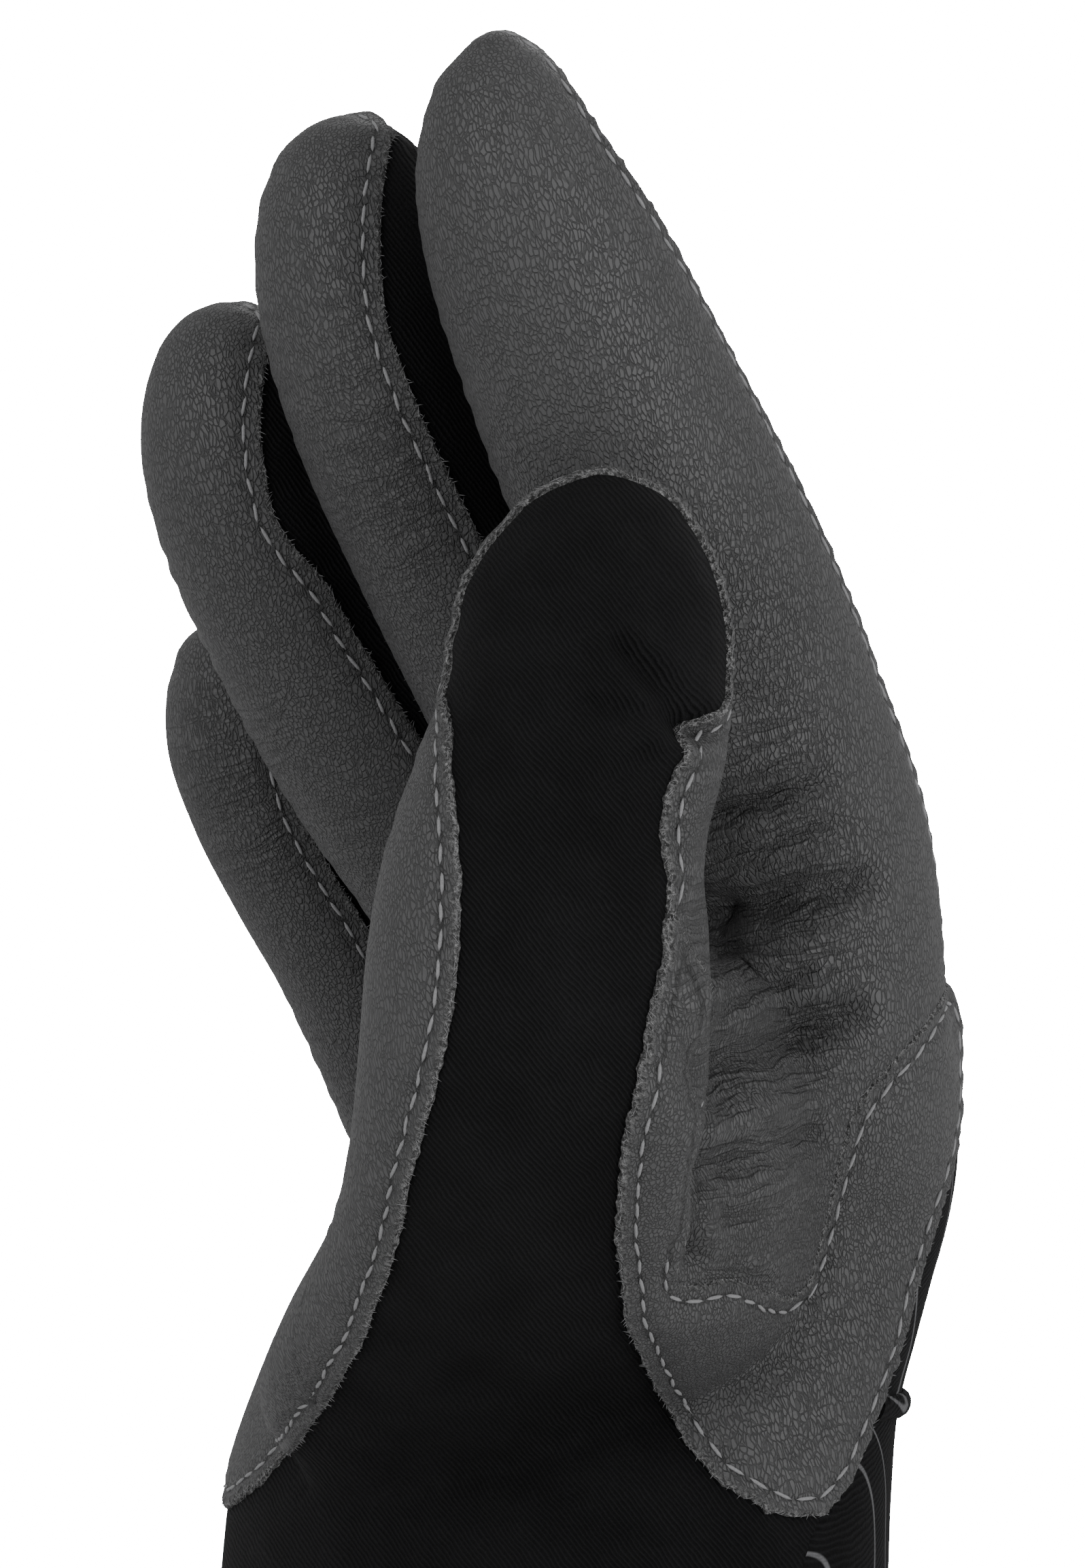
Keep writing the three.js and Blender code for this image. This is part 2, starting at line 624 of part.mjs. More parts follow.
// Edges of the black panel on the thumb's face: the left one as seen from 15 degrees, the right one from 50
const PANEL_LEFT_VIEW = 15;
const PANEL_LEFT = [
  { up: 0.400, side: -0.620 },
  { up: 0.425, side: -0.430 },
  { up: 0.478, side: -0.240 },
  { up: 0.547, side: -0.068 },
  { up: 0.650, side: 0.085 },
  { up: 0.734, side: 0.199 },
  { up: 0.823, side: 0.284 },
  { up: 0.920, side: 0.351 },
  { up: 1.010, side: 0.392 },
  { up: 1.110, side: 0.408 },
  { up: 1.190, side: 0.408 },
  { up: 1.280, side: 0.385 },
  { up: 1.360, side: 0.340 },
  { up: 1.420, side: 0.200 },
];
const PANEL_RIGHT = [
  { up: 0.442, side: 0.600 },
  { up: 0.456, side: 0.300 },
  { up: 0.470, side: 0.270 },
  { up: 0.492, side: 0.205 },
  { up: 0.532, side: 0.166 },
  { up: 0.607, side: 0.123 },
  { up: 0.688, side: 0.086 },
  { up: 0.780, side: 0.074 },
  { up: 0.876, side: 0.079 },
  { up: 0.988, side: 0.097 },
  { up: 1.080, side: 0.119 },
  { up: 1.155, side: 0.127 },
  { up: 1.222, side: 0.122 },
  { up: 1.284, side: 0.136 },
  { up: 1.326, side: 0.160 },
  { up: 1.351, side: 0.200 },
  { up: 1.400, side: 0.300 },
];
// How far out past the thumb's middle the panel begins, in shares of the thumb's width
const PANEL_OUT = [
  { up: 0.40, out: -4.00 },
  { up: 0.70, out: -1.20 },
  { up: 0.86, out: -0.20 },
  { up: 1.00, out: 0.00 },
  { up: 1.45, out: 0.04 },
];

function outPastThumb(place) {
  const limit = at(PANEL_OUT, "up", place.z / PALM_HEIGHT, "out") * THUMB_WIDTH;
  return place.clone().sub(thumbMiddle(place.z)).dot(THUMB_OUT) - limit;
}

// Positive on the black panel
function panelField(place) {
  const up = place.z / PALM_HEIGHT;
  const left = across(place, PANEL_LEFT_VIEW) - at(PANEL_LEFT, "up", up, "side") * PALM_WIDTH;
  const right = at(PANEL_RIGHT, "up", up, "side") * PALM_WIDTH - across(place, THUMB_FACE);
  return Math.min(left, right, outPastThumb(place));
}

// Outline of the leather side panel as seen from the thumb's face, in shares of palm width and height
const SIDE_PANEL = [
  { side: 0.131, up: 1.142 },
  { side: 0.151, up: 1.093 },
  { side: 0.162, up: 1.026 },
  { side: 0.155, up: 0.950 },
  { side: 0.152, up: 0.845 },
  { side: 0.140, up: 0.780 },
  { side: 0.140, up: 0.722 },
  { side: 0.178, up: 0.724 },
  { side: 0.210, up: 0.728 },
  { side: 0.240, up: 0.718 },
  { side: 0.270, up: 0.706 },
  { side: 0.296, up: 0.708 },
  { side: 0.312, up: 0.745 },
  { side: 0.331, up: 0.830 },
  { side: 0.352, up: 0.912 },
  { side: 0.398, up: 0.960 },
  { side: 0.450, up: 1.013 },
  { side: 0.480, up: 1.060 },
  { side: 0.580, up: 1.080 },
  { side: 0.580, up: 0.420 },
  { side: 0.100, up: 0.420 },
  { side: -0.020, up: 0.700 },
  { side: 0.020, up: 1.100 },
  { side: 0.110, up: 1.150 },
];

// The panel's left arm lies wholly left of this share of the palm's width
const ARM_EDGE = 0.175;
// The panel ends this share of the palm's width short of the black panel's left edge
const FRONT_EDGE = 0.06;

// Distance to a closed outline, positive inside
function insideDistance(outline, spot) {
  let nearest = Infinity;
  let inside = false;
  outline.forEach((from, i) => {
    const to = outline[(i + 1) % outline.length];
    const run = to.clone().sub(from);
    const share = THREE.MathUtils.clamp(spot.clone().sub(from).dot(run) / run.lengthSq(), 0, 1);
    nearest = Math.min(nearest, spot.distanceTo(from.clone().addScaledVector(run, share)));
    if (from.y > spot.y !== to.y > spot.y) {
      const crossing = from.x + (run.x * (spot.y - from.y)) / run.y;
      inside = spot.x < crossing ? !inside : inside;
    }
  });
  return inside ? nearest : -nearest;
}

const sideOutline = SIDE_PANEL.map((row) => new THREE.Vector2(row.side * PALM_WIDTH, row.up * PALM_HEIGHT));

// Positive on the leather side panel, on the thumb's side of the hand only
function sidePanelField(place) {
  const spot = new THREE.Vector2(across(place, THUMB_FACE), place.z);
  const front = across(place, PANEL_LEFT_VIEW)
    - (at(PANEL_LEFT, "up", place.z / PALM_HEIGHT, "side") + FRONT_EDGE) * PALM_WIDTH;
  const arm = spot.x < ARM_EDGE * PALM_WIDTH ? outPastThumb(place) : PALM_WIDTH;
  return Math.min(insideDistance(sideOutline, spot), front, arm);
}

// Seam round the thumb's root: on the thumb's face, and on the palm
const THUMB_SEAM_FACE = [
  { up: 0.68, side: 0.140 },
  { up: 0.82, side: 0.150 },
  { up: 0.96, side: 0.178 },
  { up: 1.13, side: 0.180 },
  { up: 1.60, side: 0.300 },
];
const THUMB_SEAM_PALM = [
  { up: 0.36, side: -0.02 },
  { up: 0.60, side: 0.14 },
  { up: 0.80, side: 0.27 },
  { up: 1.08, side: 0.30 },
];
// Above the web, the thumb lies this far out past the fingers
const THUMB_CLEAR = [
  { up: 0.94, out: 0.10 },
  { up: 1.06, out: 0.53 },
  { up: 1.45, out: 0.56 },
  { up: 1.62, out: 0.66 },
  { up: 1.70, out: 2.00 },
];

// Positive on the thumb leather
function thumbField(place) {
  const up = place.z / PALM_HEIGHT;
  const face = at(THUMB_SEAM_FACE, "up", up, "side") * PALM_WIDTH - across(place, THUMB_FACE);
  const palm = place.x - at(THUMB_SEAM_PALM, "up", up, "side") * PALM_WIDTH;
  const out = towards(place, THUMB_FACE) - at(THUMB_CLEAR, "up", up, "out") * PALM_WIDTH;
  return Math.min(face, palm, out);
}

const LEATHER = { color: 0x474747, roughness: 0.55, metalness: 0 };
const BLACK = { color: 0x141416, roughness: 0.8, metalness: 0 };

function piece(name, geometry, look) {
  const mesh = new THREE.Mesh(geometry, new THREE.MeshStandardMaterial(look));
  mesh.name = name;
  return mesh;
}

const leatherWall = (skin) => wall(skin, LEATHER_RISE, LEATHER_RISE - LEATHER_WALL);
const fabricWall = (skin) => wall(skin, 0, -FABRIC_WALL);

const form = skinOf(outerForm());
form.points.forEach((point) => {
  point.place.addScaledVector(point.normal, -foldDepth(point));
});
setNormals(form);

const [open] = split(form, (place) => place.z - SEAM_GAP / 2);
const [body, hem] = split(open, (place) => place.z - HEM_HEIGHT);
const [back, front] = split(body, asDistance(backField));
const [strips, faces] = split(front, asDistance(stripField));
const middleX = fingers[2].side * PALM_WIDTH;
const ringX = fingers[1].side * PALM_WIDTH;
const [stripIndex, stripRest] = split(strips, (place) => place.x - middleX);
const [stripMiddle, stripPinky] = split(stripRest, (place) => place.x - ringX);
const [panel, leather] = split(faces, asDistance(panelField));
const [side, inner] = split(leather, asDistance(sidePanelField));
const [thumb, palm] = split(inner, asDistance(thumbField));

const tuckHeight = (place) => place.z - TUCK_UP * PALM_HEIGHT;
const [aboveTuck] = split(back, tuckHeight);
const [, tuckBand] = split(aboveTuck, (place) => tuckHeight(place) - TUCK_HEIGHT);

const glove = new THREE.Group();
glove.add(
  piece("palm_leather", leatherWall(palm), LEATHER),
  piece("thumb_leather", leatherWall(thumb), LEATHER),
  piece("side_panel", leatherWall(side), LEATHER),
  piece("thumb_back", fabricWall(panel), BLACK),
  piece("back_fabric", fabricWall(back), BLACK),
  piece("fourchette_index_middle", fabricWall(stripIndex), BLACK),
  piece("fourchette_middle_ring", fabricWall(stripMiddle), BLACK),
  piece("fourchette_ring_pinky", fabricWall(stripPinky), BLACK),
  piece("wrist_tuck", wall(tuckBand, TUCK_CLEAR + TUCK_RISE, TUCK_CLEAR), BLACK),
  piece("cuff_hem", wall(hem, HEM_RISE, -FABRIC_WALL), BLACK),
);

export default glove;
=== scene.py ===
"""A right-hand glove in grey leather and black stretch fabric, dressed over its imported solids.

The outer form is lofted from the same shares as the solids, closed into one skin, folded and wrinkled,
and cut along the seams into one piece for each solid. Metres, +Z up to the fingertips, +X to the thumb.
"""

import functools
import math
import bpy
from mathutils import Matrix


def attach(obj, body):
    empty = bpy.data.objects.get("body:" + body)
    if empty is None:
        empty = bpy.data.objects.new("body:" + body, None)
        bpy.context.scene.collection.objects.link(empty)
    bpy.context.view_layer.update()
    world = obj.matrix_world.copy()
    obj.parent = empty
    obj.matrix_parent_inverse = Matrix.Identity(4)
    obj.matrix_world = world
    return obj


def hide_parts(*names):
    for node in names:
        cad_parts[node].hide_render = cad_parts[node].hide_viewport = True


bl_info = {
    "name": "Leather and Stretch Fabric Glove",
    "version": (1, 0, 0),
    "blender": (4, 5, 0),
    "location": "View3D > Sidebar > Glove",
    "description": "Builds a worn glove with leather grain, twill, seams and raw edges",
    "category": "Add Mesh",
}

import bpy
import numpy as np
from mathutils import Vector, kdtree

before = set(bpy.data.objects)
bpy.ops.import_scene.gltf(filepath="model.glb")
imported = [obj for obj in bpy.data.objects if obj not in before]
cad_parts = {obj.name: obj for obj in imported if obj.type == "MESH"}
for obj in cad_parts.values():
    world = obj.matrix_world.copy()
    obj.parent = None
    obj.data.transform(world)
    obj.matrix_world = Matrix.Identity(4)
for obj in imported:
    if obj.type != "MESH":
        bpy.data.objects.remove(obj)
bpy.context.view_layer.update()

MM = 0.001

# Forms, in shares of the driving sizes


def table(columns, rows):
    return {name: np.array(values) for name, values in zip(columns, zip(*rows))}


# Palm and wrist: shares of the palm's height, width and depth, with the middle line's offset to the back
PALM_TABLE = table(("up", "wide", "deep", "back", "slope"), (
    (-0.03, 0.99, 1.01, 0.0, 0.0), (0.1, 1.0, 1.02, 0.0, 0.0), (0.36, 1.0, 1.02, 0.0, 0.0),
    (0.47, 0.99, 1.0, 0.02, 0.0), (0.56, 0.98, 0.94, 0.06, 0.0), (0.65, 0.99, 0.87, 0.125, 0.0),
    (0.74, 1.0, 0.79, 0.21, 0.0), (0.85, 1.0, 0.71, 0.275, 0.0), (0.94, 1.0, 0.66, 0.275, 0.02),
    (1.01, 1.0, 0.6, 0.25, 0.05), (1.06, 0.97, 0.48, 0.2, 0.09), (1.09, 0.86, 0.28, 0.16, 0.1),
))
# Fingers: place up the finger, how far it has bent forward, and its width and depth, as shares
INDEX_TABLE = table(("up", "fore", "wide", "deep"), (
    (-0.15, -0.06, 0.86, 0.8), (0.0, 0.0, 0.96, 1.0), (0.1, 0.014, 1.0, 1.03), (0.2, 0.036, 1.02, 1.03),
    (0.31, 0.086, 1.02, 1.02), (0.45, 0.155, 1.0, 1.0), (0.55, 0.217, 0.98, 0.97), (0.63, 0.268, 0.95, 0.93),
    (0.72, 0.32, 0.91, 0.87), (0.79, 0.358, 0.87, 0.82), (0.84, 0.385, 0.8, 0.74), (0.89, 0.406, 0.69, 0.63),
    (0.93, 0.415, 0.56, 0.51), (0.97, 0.42, 0.37, 0.34), (1.0, 0.421, 0.1, 0.1),
))
MIDDLE_TABLE = table(("up", "fore", "wide", "deep"), (
    (-0.15, -0.06, 0.88, 0.86), (0.0, 0.0, 1.0, 1.06), (0.14, 0.06, 1.0, 1.06), (0.27, 0.125, 1.0, 1.05),
    (0.39, 0.205, 1.01, 1.04), (0.54, 0.305, 1.0, 1.02), (0.69, 0.395, 0.99, 1.0), (0.77, 0.43, 0.98, 0.98),
    (0.85, 0.452, 0.93, 0.93), (0.91, 0.458, 0.82, 0.82), (0.95, 0.455, 0.67, 0.67), (0.98, 0.45, 0.46, 0.46),
    (1.0, 0.446, 0.12, 0.12),
))
RING_TABLE = table(("up", "fore", "wide", "deep"), (
    (-0.15, -0.06, 0.88, 0.86), (0.0, 0.0, 1.0, 1.06), (0.11, 0.06, 1.0, 1.06), (0.25, 0.165, 1.0, 1.05),
    (0.33, 0.24, 1.01, 1.04), (0.44, 0.33, 1.01, 1.03), (0.58, 0.425, 1.0, 1.02), (0.66, 0.475, 1.0, 1.01),
    (0.74, 0.515, 0.99, 0.99), (0.82, 0.54, 0.95, 0.95), (0.89, 0.545, 0.85, 0.85), (0.95, 0.54, 0.66, 0.66),
    (0.98, 0.535, 0.45, 0.45), (1.0, 0.53, 0.12, 0.12),
))
PINKY_TABLE = table(("up", "fore", "wide", "deep"), (
    (-0.16, -0.07, 0.86, 0.86), (0.0, 0.0, 1.02, 1.08), (0.12, 0.07, 1.02, 1.07), (0.22, 0.13, 1.01, 1.05),
    (0.34, 0.205, 1.0, 1.04), (0.5, 0.325, 1.0, 1.02), (0.66, 0.43, 1.0, 1.01), (0.79, 0.492, 0.96, 0.96),
    (0.88, 0.51, 0.83, 0.83), (0.94, 0.512, 0.66, 0.66), (0.98, 0.508, 0.42, 0.42), (1.0, 0.504, 0.12, 0.12),
))
# Thumb: its middle as shares of the thumb's length, across its face and out of it
THUMB_TABLE = table(("up", "side", "out", "wide", "deep"), (
    (-0.14, 0.0, 0.06, 1.3, 1.0), (-0.05, -0.04, 0.12, 1.38, 1.14), (0.03, -0.078, 0.22, 1.36, 1.18),
    (0.09, -0.08, 0.32, 1.28, 1.18), (0.16, -0.062, 0.42, 1.16, 1.14), (0.25, -0.04, 0.52, 1.06, 1.1),
    (0.35, -0.022, 0.59, 1.05, 1.06), (0.43, -0.016, 0.62, 1.04, 1.03), (0.53, -0.012, 0.633, 1.01, 1.0),
    (0.62, -0.006, 0.64, 0.94, 0.98), (0.69, 0.014, 0.643, 0.92, 0.97), (0.77, 0.034, 0.643, 0.87, 0.96),
    (0.84, 0.041, 0.643, 0.84, 0.92), (0.9, 0.043, 0.641, 0.75, 0.82), (0.95, 0.049, 0.64, 0.56, 0.62),
    (0.98, 0.052, 0.64, 0.38, 0.42), (1.0, 0.053, 0.64, 0.1, 0.1),
))
# Web between thumb and palm, in shares of the palm's width and height
WEB_TABLE = table(("up", "right", "back", "wide", "deep"), (
    (0.44, 0.2, -0.08, 0.14, 0.1), (0.55, 0.22, -0.07, 0.17, 0.13), (0.66, 0.32, -0.15, 0.25, 0.17),
    (0.76, 0.375, -0.18, 0.33, 0.17), (0.87, 0.405, -0.18, 0.33, 0.155), (0.96, 0.415, -0.18, 0.31, 0.14),
    (1.04, 0.42, -0.18, 0.28, 0.11), (1.09, 0.42, -0.18, 0.2, 0.05),
))
# Back seam on the thumb side, in shares of the palm's height and depth, then of the index finger's
BACK_SEAM = table(("up", "back"), (
    (0.0, -0.06), (0.36, -0.052), (0.45, 0.01), (0.49, 0.079), (0.55, 0.146), (0.62, 0.204), (0.72, 0.272),
    (0.87, 0.342), (1.0, 0.37), (1.11, 0.3),
))
INDEX_SEAM = table(("up", "back"), (
    (0.1, 0.45), (0.4, 0.41), (0.75, 0.36), (0.9, 0.2), (1.0, 0.1),
))
# Edges of the black panel on the thumb: the left one as seen from 15 degrees, the right one from 50
PANEL_LEFT = table(("up", "side"), (
    (0.4, -0.62), (0.425, -0.43), (0.478, -0.24), (0.547, -0.068), (0.65, 0.085), (0.734, 0.199),
    (0.823, 0.284), (0.92, 0.351), (1.01, 0.392), (1.11, 0.408), (1.19, 0.408), (1.28, 0.385), (1.36, 0.34),
    (1.42, 0.2),
))
PANEL_RIGHT = table(("up", "side"), (
    (0.442, 0.6), (0.456, 0.3), (0.47, 0.247), (0.492, 0.205), (0.532, 0.166), (0.607, 0.123), (0.688, 0.086),
    (0.78, 0.074), (0.876, 0.079), (0.988, 0.097), (1.08, 0.119), (1.155, 0.127), (1.222, 0.122),
    (1.284, 0.136), (1.326, 0.16), (1.355, 0.193), (1.386, 0.215), (1.44, 0.3),
))
# Its left edge over the heel of the hand, as seen from 50 degrees
PANEL_LOW = table(("up", "side"), (
    (0.415, -0.412), (0.43, -0.395), (0.463, -0.355), (0.517, -0.31), (0.592, -0.26), (0.66, -0.22),
    (0.762, -0.179), (0.871, -0.146), (1.008, -0.109),
))
# How far out past the thumb's middle the panel begins, in shares of the thumb's width
PANEL_OUT = table(("up", "out"), (
    (0.4, -4.0), (0.7, -1.2), (0.86, -0.2), (1.0, 0.0), (1.45, 0.04),
))
# Outline of the leather side panel as seen from the thumb's face, in shares of palm width and height
SIDE_PANEL = table(("side", "up"), (
    (0.131, 1.142), (0.151, 1.093), (0.162, 1.026), (0.155, 0.95), (0.152, 0.845), (0.14, 0.78), (0.14, 0.722),
    (0.178, 0.724), (0.21, 0.728), (0.24, 0.718), (0.27, 0.706), (0.296, 0.708), (0.312, 0.745), (0.331, 0.83),
    (0.352, 0.912), (0.398, 0.96), (0.45, 1.013), (0.48, 1.06), (0.58, 1.08), (0.58, 0.42), (0.1, 0.42),
    (-0.02, 0.7), (0.02, 1.1), (0.11, 1.15),
))
# Seam round the thumb's root: on the thumb's face, on the palm, and clear of the fingers
THUMB_SEAM_FACE = table(("up", "side"), (
    (0.68, 0.14), (0.82, 0.15), (0.96, 0.178), (1.13, 0.18), (1.6, 0.3),
))
THUMB_SEAM_PALM = table(("up", "side"), (
    (0.36, -0.02), (0.6, 0.14), (0.8, 0.27), (1.08, 0.3),
))
THUMB_CLEAR = table(("up", "out"), (
    (0.94, 0.1), (1.06, 0.53), (1.45, 0.56), (1.62, 0.66), (1.7, 2.0),
))

THUMB_FACE = 50
PANEL_LEFT_VIEW = 15
# The low edge takes over this far out, in palm widths, and below these shares of the palm's height; it
# passes the upper one by no more than the reach
LOW_EDGE_REACH = 5 * MM
LOW_EDGE_OUT = (-0.18, -0.10)
LOW_EDGE_UP = (0.75, 0.90)
# Below this share of the palm's height the seam between thumb and palm leather lies flat
FLAT_SEAM_UP = 0.80
# The index finger's root is eased into the palm beyond this share of its width, round this height
ROOT_SIDE = (0.24, 0.34)
ROOT_UP = 0.82
ROOT_REACH = 0.20
ROOT_ROUNDS = 70
# Pebbles of the grain lean this far over to the right, in degrees, and are drawn out along that line
GRAIN_TILT = -14
GRAIN_STRETCH = 0.36
# Where the side panel's inner rim turns under, in shares of the palm's width and height
RIM_SIDE = (0.124, 0.190)
RIM_UP = (0.75, 1.15)
# The web's wide axis points this way, and the thumb's root and the wrist tuck lie at these heights, in shares
WEB_TURN = 106
THUMB_ROOT = 0.54
TUCK_UP = 0.553
HEM_RISE = 0.9 * MM
# The side panel's inner arm ends here, and its front edge keeps this far from the black panel's, in palm widths
PANEL_ARM = 0.175
PANEL_FRONT = 0.06
# Depth of the index finger for its width
INDEX_SHARE_DEPTH = 28.5 / 26
# Sections and corners of a tube; a finger's direction is read over this many sections each way
RINGS = 110
SIDES = 72
BEND_REACH = 4
# Below the knuckles a finger's middle runs into the palm's, over this share of the palm's height
KNUCKLE_BLEND = 0.2
RELAX_STEPS = (0.55, -0.57)
# The middles of neighbouring fingers and the outer seams pass into each other over these distances
FINGER_BLEND = 2 * MM
SEAM_BLEND = 2.5 * MM
# The strips between the fingers end this far before the tips and taper over this run, in their widths
STRIP_END = 0.2
STRIP_TAPER = 1.6
# Fields are told up to this far, and never as flatter than the least slope
FIELD_REACH = 8 * MM
LEAST_SLOPE = 0.3
CUFF_CUT = 0.15 * MM
ON_SEAM = 0.3 * MM
# Parts smaller than this share of the largest one are specks
SPECK = 0.2
SHARP_FROM = 52
# Folds begin this far out, in palm widths; the swelling beside one, in shares of its depth and width
FOLDS_FROM = 0.1
FOLD_SWELL = 0.35
SWELL_AT = 1.9
SWELL_WIDTH = 0.9
# Cross wrinkles: their height, where they set in, in millimetres up, and how they fall towards the back
RIPPLE = 0.09 * MM
RIPPLES_UP = (62, 96)
COURSE_FALL = 0.45
# Raw edges of leather: how much of the rise rolls off, over what distance, and the least wall left
ROLL = 0.45
EDGE_ROLL = 0.7 * MM
LEAST_LEATHER = 0.5 * MM
# How deep laps lie under their neighbours
LEATHER_SINK = 0.9 * MM
FABRIC_SINK = 0.45 * MM
# The groove along the stitches and the pull of each of them
GROOVE = 0.30 * MM
GROOVE_WIDTH = 0.8 * MM
PULL = 0.12 * MM
PULL_WIDTH = 2.2 * MM
# Stitches further than this from what shows of their piece are covered; fibres start beside the edge
COVERED = 0.9 * MM
SHORTEST_RUN = 4
FIBRE_INSET = 0.12 * MM
FIBRE_STEP = 0.6 * MM
# Fine noise of the leather and the thread, in cells for a metre
FUZZ = 5200.0

FLOOR_CORNERS = 96
FLOOR_RADIUS = 0.3
# Strength of the room as the glove and as the camera see it
ROOM_LIGHT = 0.62
ROOM_SEEN = 40.0
# Soft lights: places to the right, towards the viewpoint and up, from the glove's middle, in metres, then power
# and size
LIGHTS = (
    ("key", -0.85, 1.15, 0.55, 6.5, 0.6),
    ("fill", 1.05, 0.95, -0.10, 9.5, 0.8),
    ("rim", 0.30, -1.20, 0.90, 4.0, 0.7),
)
SENSOR = 36
VIEW_DISTANCE = 900 * MM
VIEW_RIGHT = -0.8 * MM
VIEW_UP = 117 * MM
PIXELS_PER_METRE = 13.8 / MM
PICTURE_HEIGHT = 2306

# Folds on the thumb side, seen from the thumb's face: shares of palm width and height, then depth and width in mm
FOLDS = table(("side", "up", "to_side", "to_up", "depth", "width"), (
    (0.185, 1.125, 0.36, 1.165, 3.8, 2.6), (0.185, 0.965, 0.35, 1.02, 4.0, 2.8),
    (0.185, 0.86, 0.3, 0.885, 2.6, 2.0), (0.16, 0.735, 0.24, 0.725, 2.6, 2.0),
    (0.17, 1.33, 0.08, 1.42, 2.3, 1.5), (0.17, 1.33, 0.04, 1.36, 1.3, 1.1),
    (0.165, 1.325, 0.07, 1.28, 0.9, 1.1), (0.2, 1.24, 0.32, 1.285, 1.7, 1.4),
    (0.2, 1.195, 0.33, 1.235, 0.9, 1.0), (0.19, 1.075, 0.3, 1.105, 1.1, 1.1),
    (0.19, 1.03, 0.3, 1.065, 1.6, 1.2), (0.19, 0.915, 0.32, 0.955, 1.0, 1.0), (0.2, 0.8, 0.31, 0.805, 1.0, 1.0),
    (0.162, 0.76, 0.172, 1.115, 2.4, 1.0), (0.198, 0.78, 0.2, 1.13, 2.0, 2.4),
    (0.318, 0.74, 0.34, 0.82, 0.4, 1.1), (-0.1, 0.62, 0.06, 0.57, 0.7, 1.8),
    (-0.16, 0.52, 0.02, 0.49, 0.6, 1.8), (0.05, 0.47, 0.16, 0.44, 0.6, 1.5), (0.28, 0.54, 0.36, 0.6, 0.5, 1.6),
    (-0.19, 0.8, -0.06, 0.74, 0.5, 1.4), (-0.17, 0.95, -0.08, 0.92, 0.4, 1.2),
))

# Where the leather is finely wrinkled, seen from the thumb's face: middle, half sizes and strength; the strength
# also sets how much painted shade darkens the creases
WRINKLED = table(("side", "up", "half_side", "half_up", "strength"), (
    (0.235, 1.08, 0.125, 0.36, 1.0), (0.25, 0.82, 0.1, 0.14, 0.7), (-0.4, 1.27, 0.11, 0.17, 0.6),
    (-0.216, 1.6, 0.1, 0.22, 0.45), (0.2, 1.4, 0.14, 0.25, 0.4), (0.35, 0.62, 0.15, 0.14, 0.2),
    (-0.33, 0.6, 0.12, 0.2, 0.2),
))


def measure(name, description, millimetres):
    return bpy.props.FloatProperty(
        name=name, description=description, default=millimetres * MM, unit="LENGTH")


def colour(name, description, *levels):
    return bpy.props.FloatVectorProperty(name=name, description=description, subtype="COLOR", default=levels)


class GloveShape(bpy.types.PropertyGroup):
    palm_width: measure("Palm width", "Across the palm", 86)
    palm_depth: measure("Palm depth", "From palm to back at the wrist", 57)
    palm_height: measure("Palm height", "From the cuff to the knuckles", 92)
    index_length: measure("Index length", "From knuckle to tip", 100)
    middle_length: measure("Middle length", "From knuckle to tip", 93.5)
    ring_length: measure("Ring length", "From knuckle to tip", 75)
    pinky_length: measure("Little finger length", "From knuckle to tip", 53)
    index_width: measure("Index width", "Across the index finger", 26)
    middle_width: measure("Middle width", "Across the middle finger", 22)
    ring_width: measure("Ring width", "Across the ring finger", 21)
    pinky_width: measure("Little finger width", "Across the little finger", 19.5)
    thumb_length: measure("Thumb length", "From the root of the thumb to its tip", 98)
    thumb_width: measure("Thumb width", "Across the thumb", 32)
    thumb_depth: measure("Thumb depth", "Through the thumb", 27)
    strip_width: measure("Fourchette width", "Of the strips between fingers", 12)
    hem_height: measure("Hem height", "Of the binding at the cuff", 6)
    tuck_height: measure("Tuck height", "Of the band over the wrist", 2.6)
    tuck_rise: measure("Tuck rise", "How far the band stands out", 1.2)
    cell: measure("Cell", "Size of the skin's cells", 0.9)


class GloveSewing(bpy.types.PropertyGroup):
    leather_rise: measure("Leather rise", "How far leather stands over fabric", 0.8)
    panel_rise: measure("Panel rise", "How far the side panel stands out", 1.1)
    leather_depth: measure("Leather depth", "How far leather reaches under the form", 0.8)
    fabric_wall: measure("Fabric wall", "Thickness of the fabric", 1.2)
    lap: measure("Lap", "How far a piece runs under its neighbour", 1.4)
    stitch_inset: measure("Stitch inset", "From a raw edge to its stitches", 1.8)
    stitch_length: measure("Stitch length", "Length of one stitch", 2.5)
    stitch_pitch: measure("Stitch pitch", "From one stitch to the next", 2.8)
    thread: measure("Thread", "Thickness of the thread", 0.45)
    ragged: measure("Raggedness", "How unevenly leather is cut", 0.28)
    fibre_length: measure("Fibre length", "Length of a loose fibre", 1.1)
    fibre_pitch: measure("Fibre pitch", "Between loose fibres on a raw edge", 0.5)
    fibre: measure("Fibre", "Thickness of a loose fibre", 0.07)


class GloveLooks(bpy.types.PropertyGroup):
    leather: colour("Leather", "Colour of the leather", 0.060, 0.060, 0.061)
    raw_edge: colour("Raw edge", "Colour of cut leather", 0.21, 0.21, 0.21)
    fabric: colour("Fabric", "Colour of the stretch fabric", 0.0052, 0.0052, 0.0056)
    lines: colour("Lines", "Colour of the lines on the back", 0.14, 0.14, 0.145)
    thread: colour("Thread", "Colour of the stitches", 0.25, 0.25, 0.255)
    floor: colour("Floor", "Colour of the floor", 0.85, 0.85, 0.85)
    light: bpy.props.FloatProperty(
        name="Light", description="Strength of the soft lights", default=1.0, min=0.0)


def shape():
    return bpy.context.scene.glove_shape


def sewing():
    return bpy.context.scene.glove_sewing


def looks():
    return bpy.context.scene.glove_looks


# Tables read smoothly between their rows


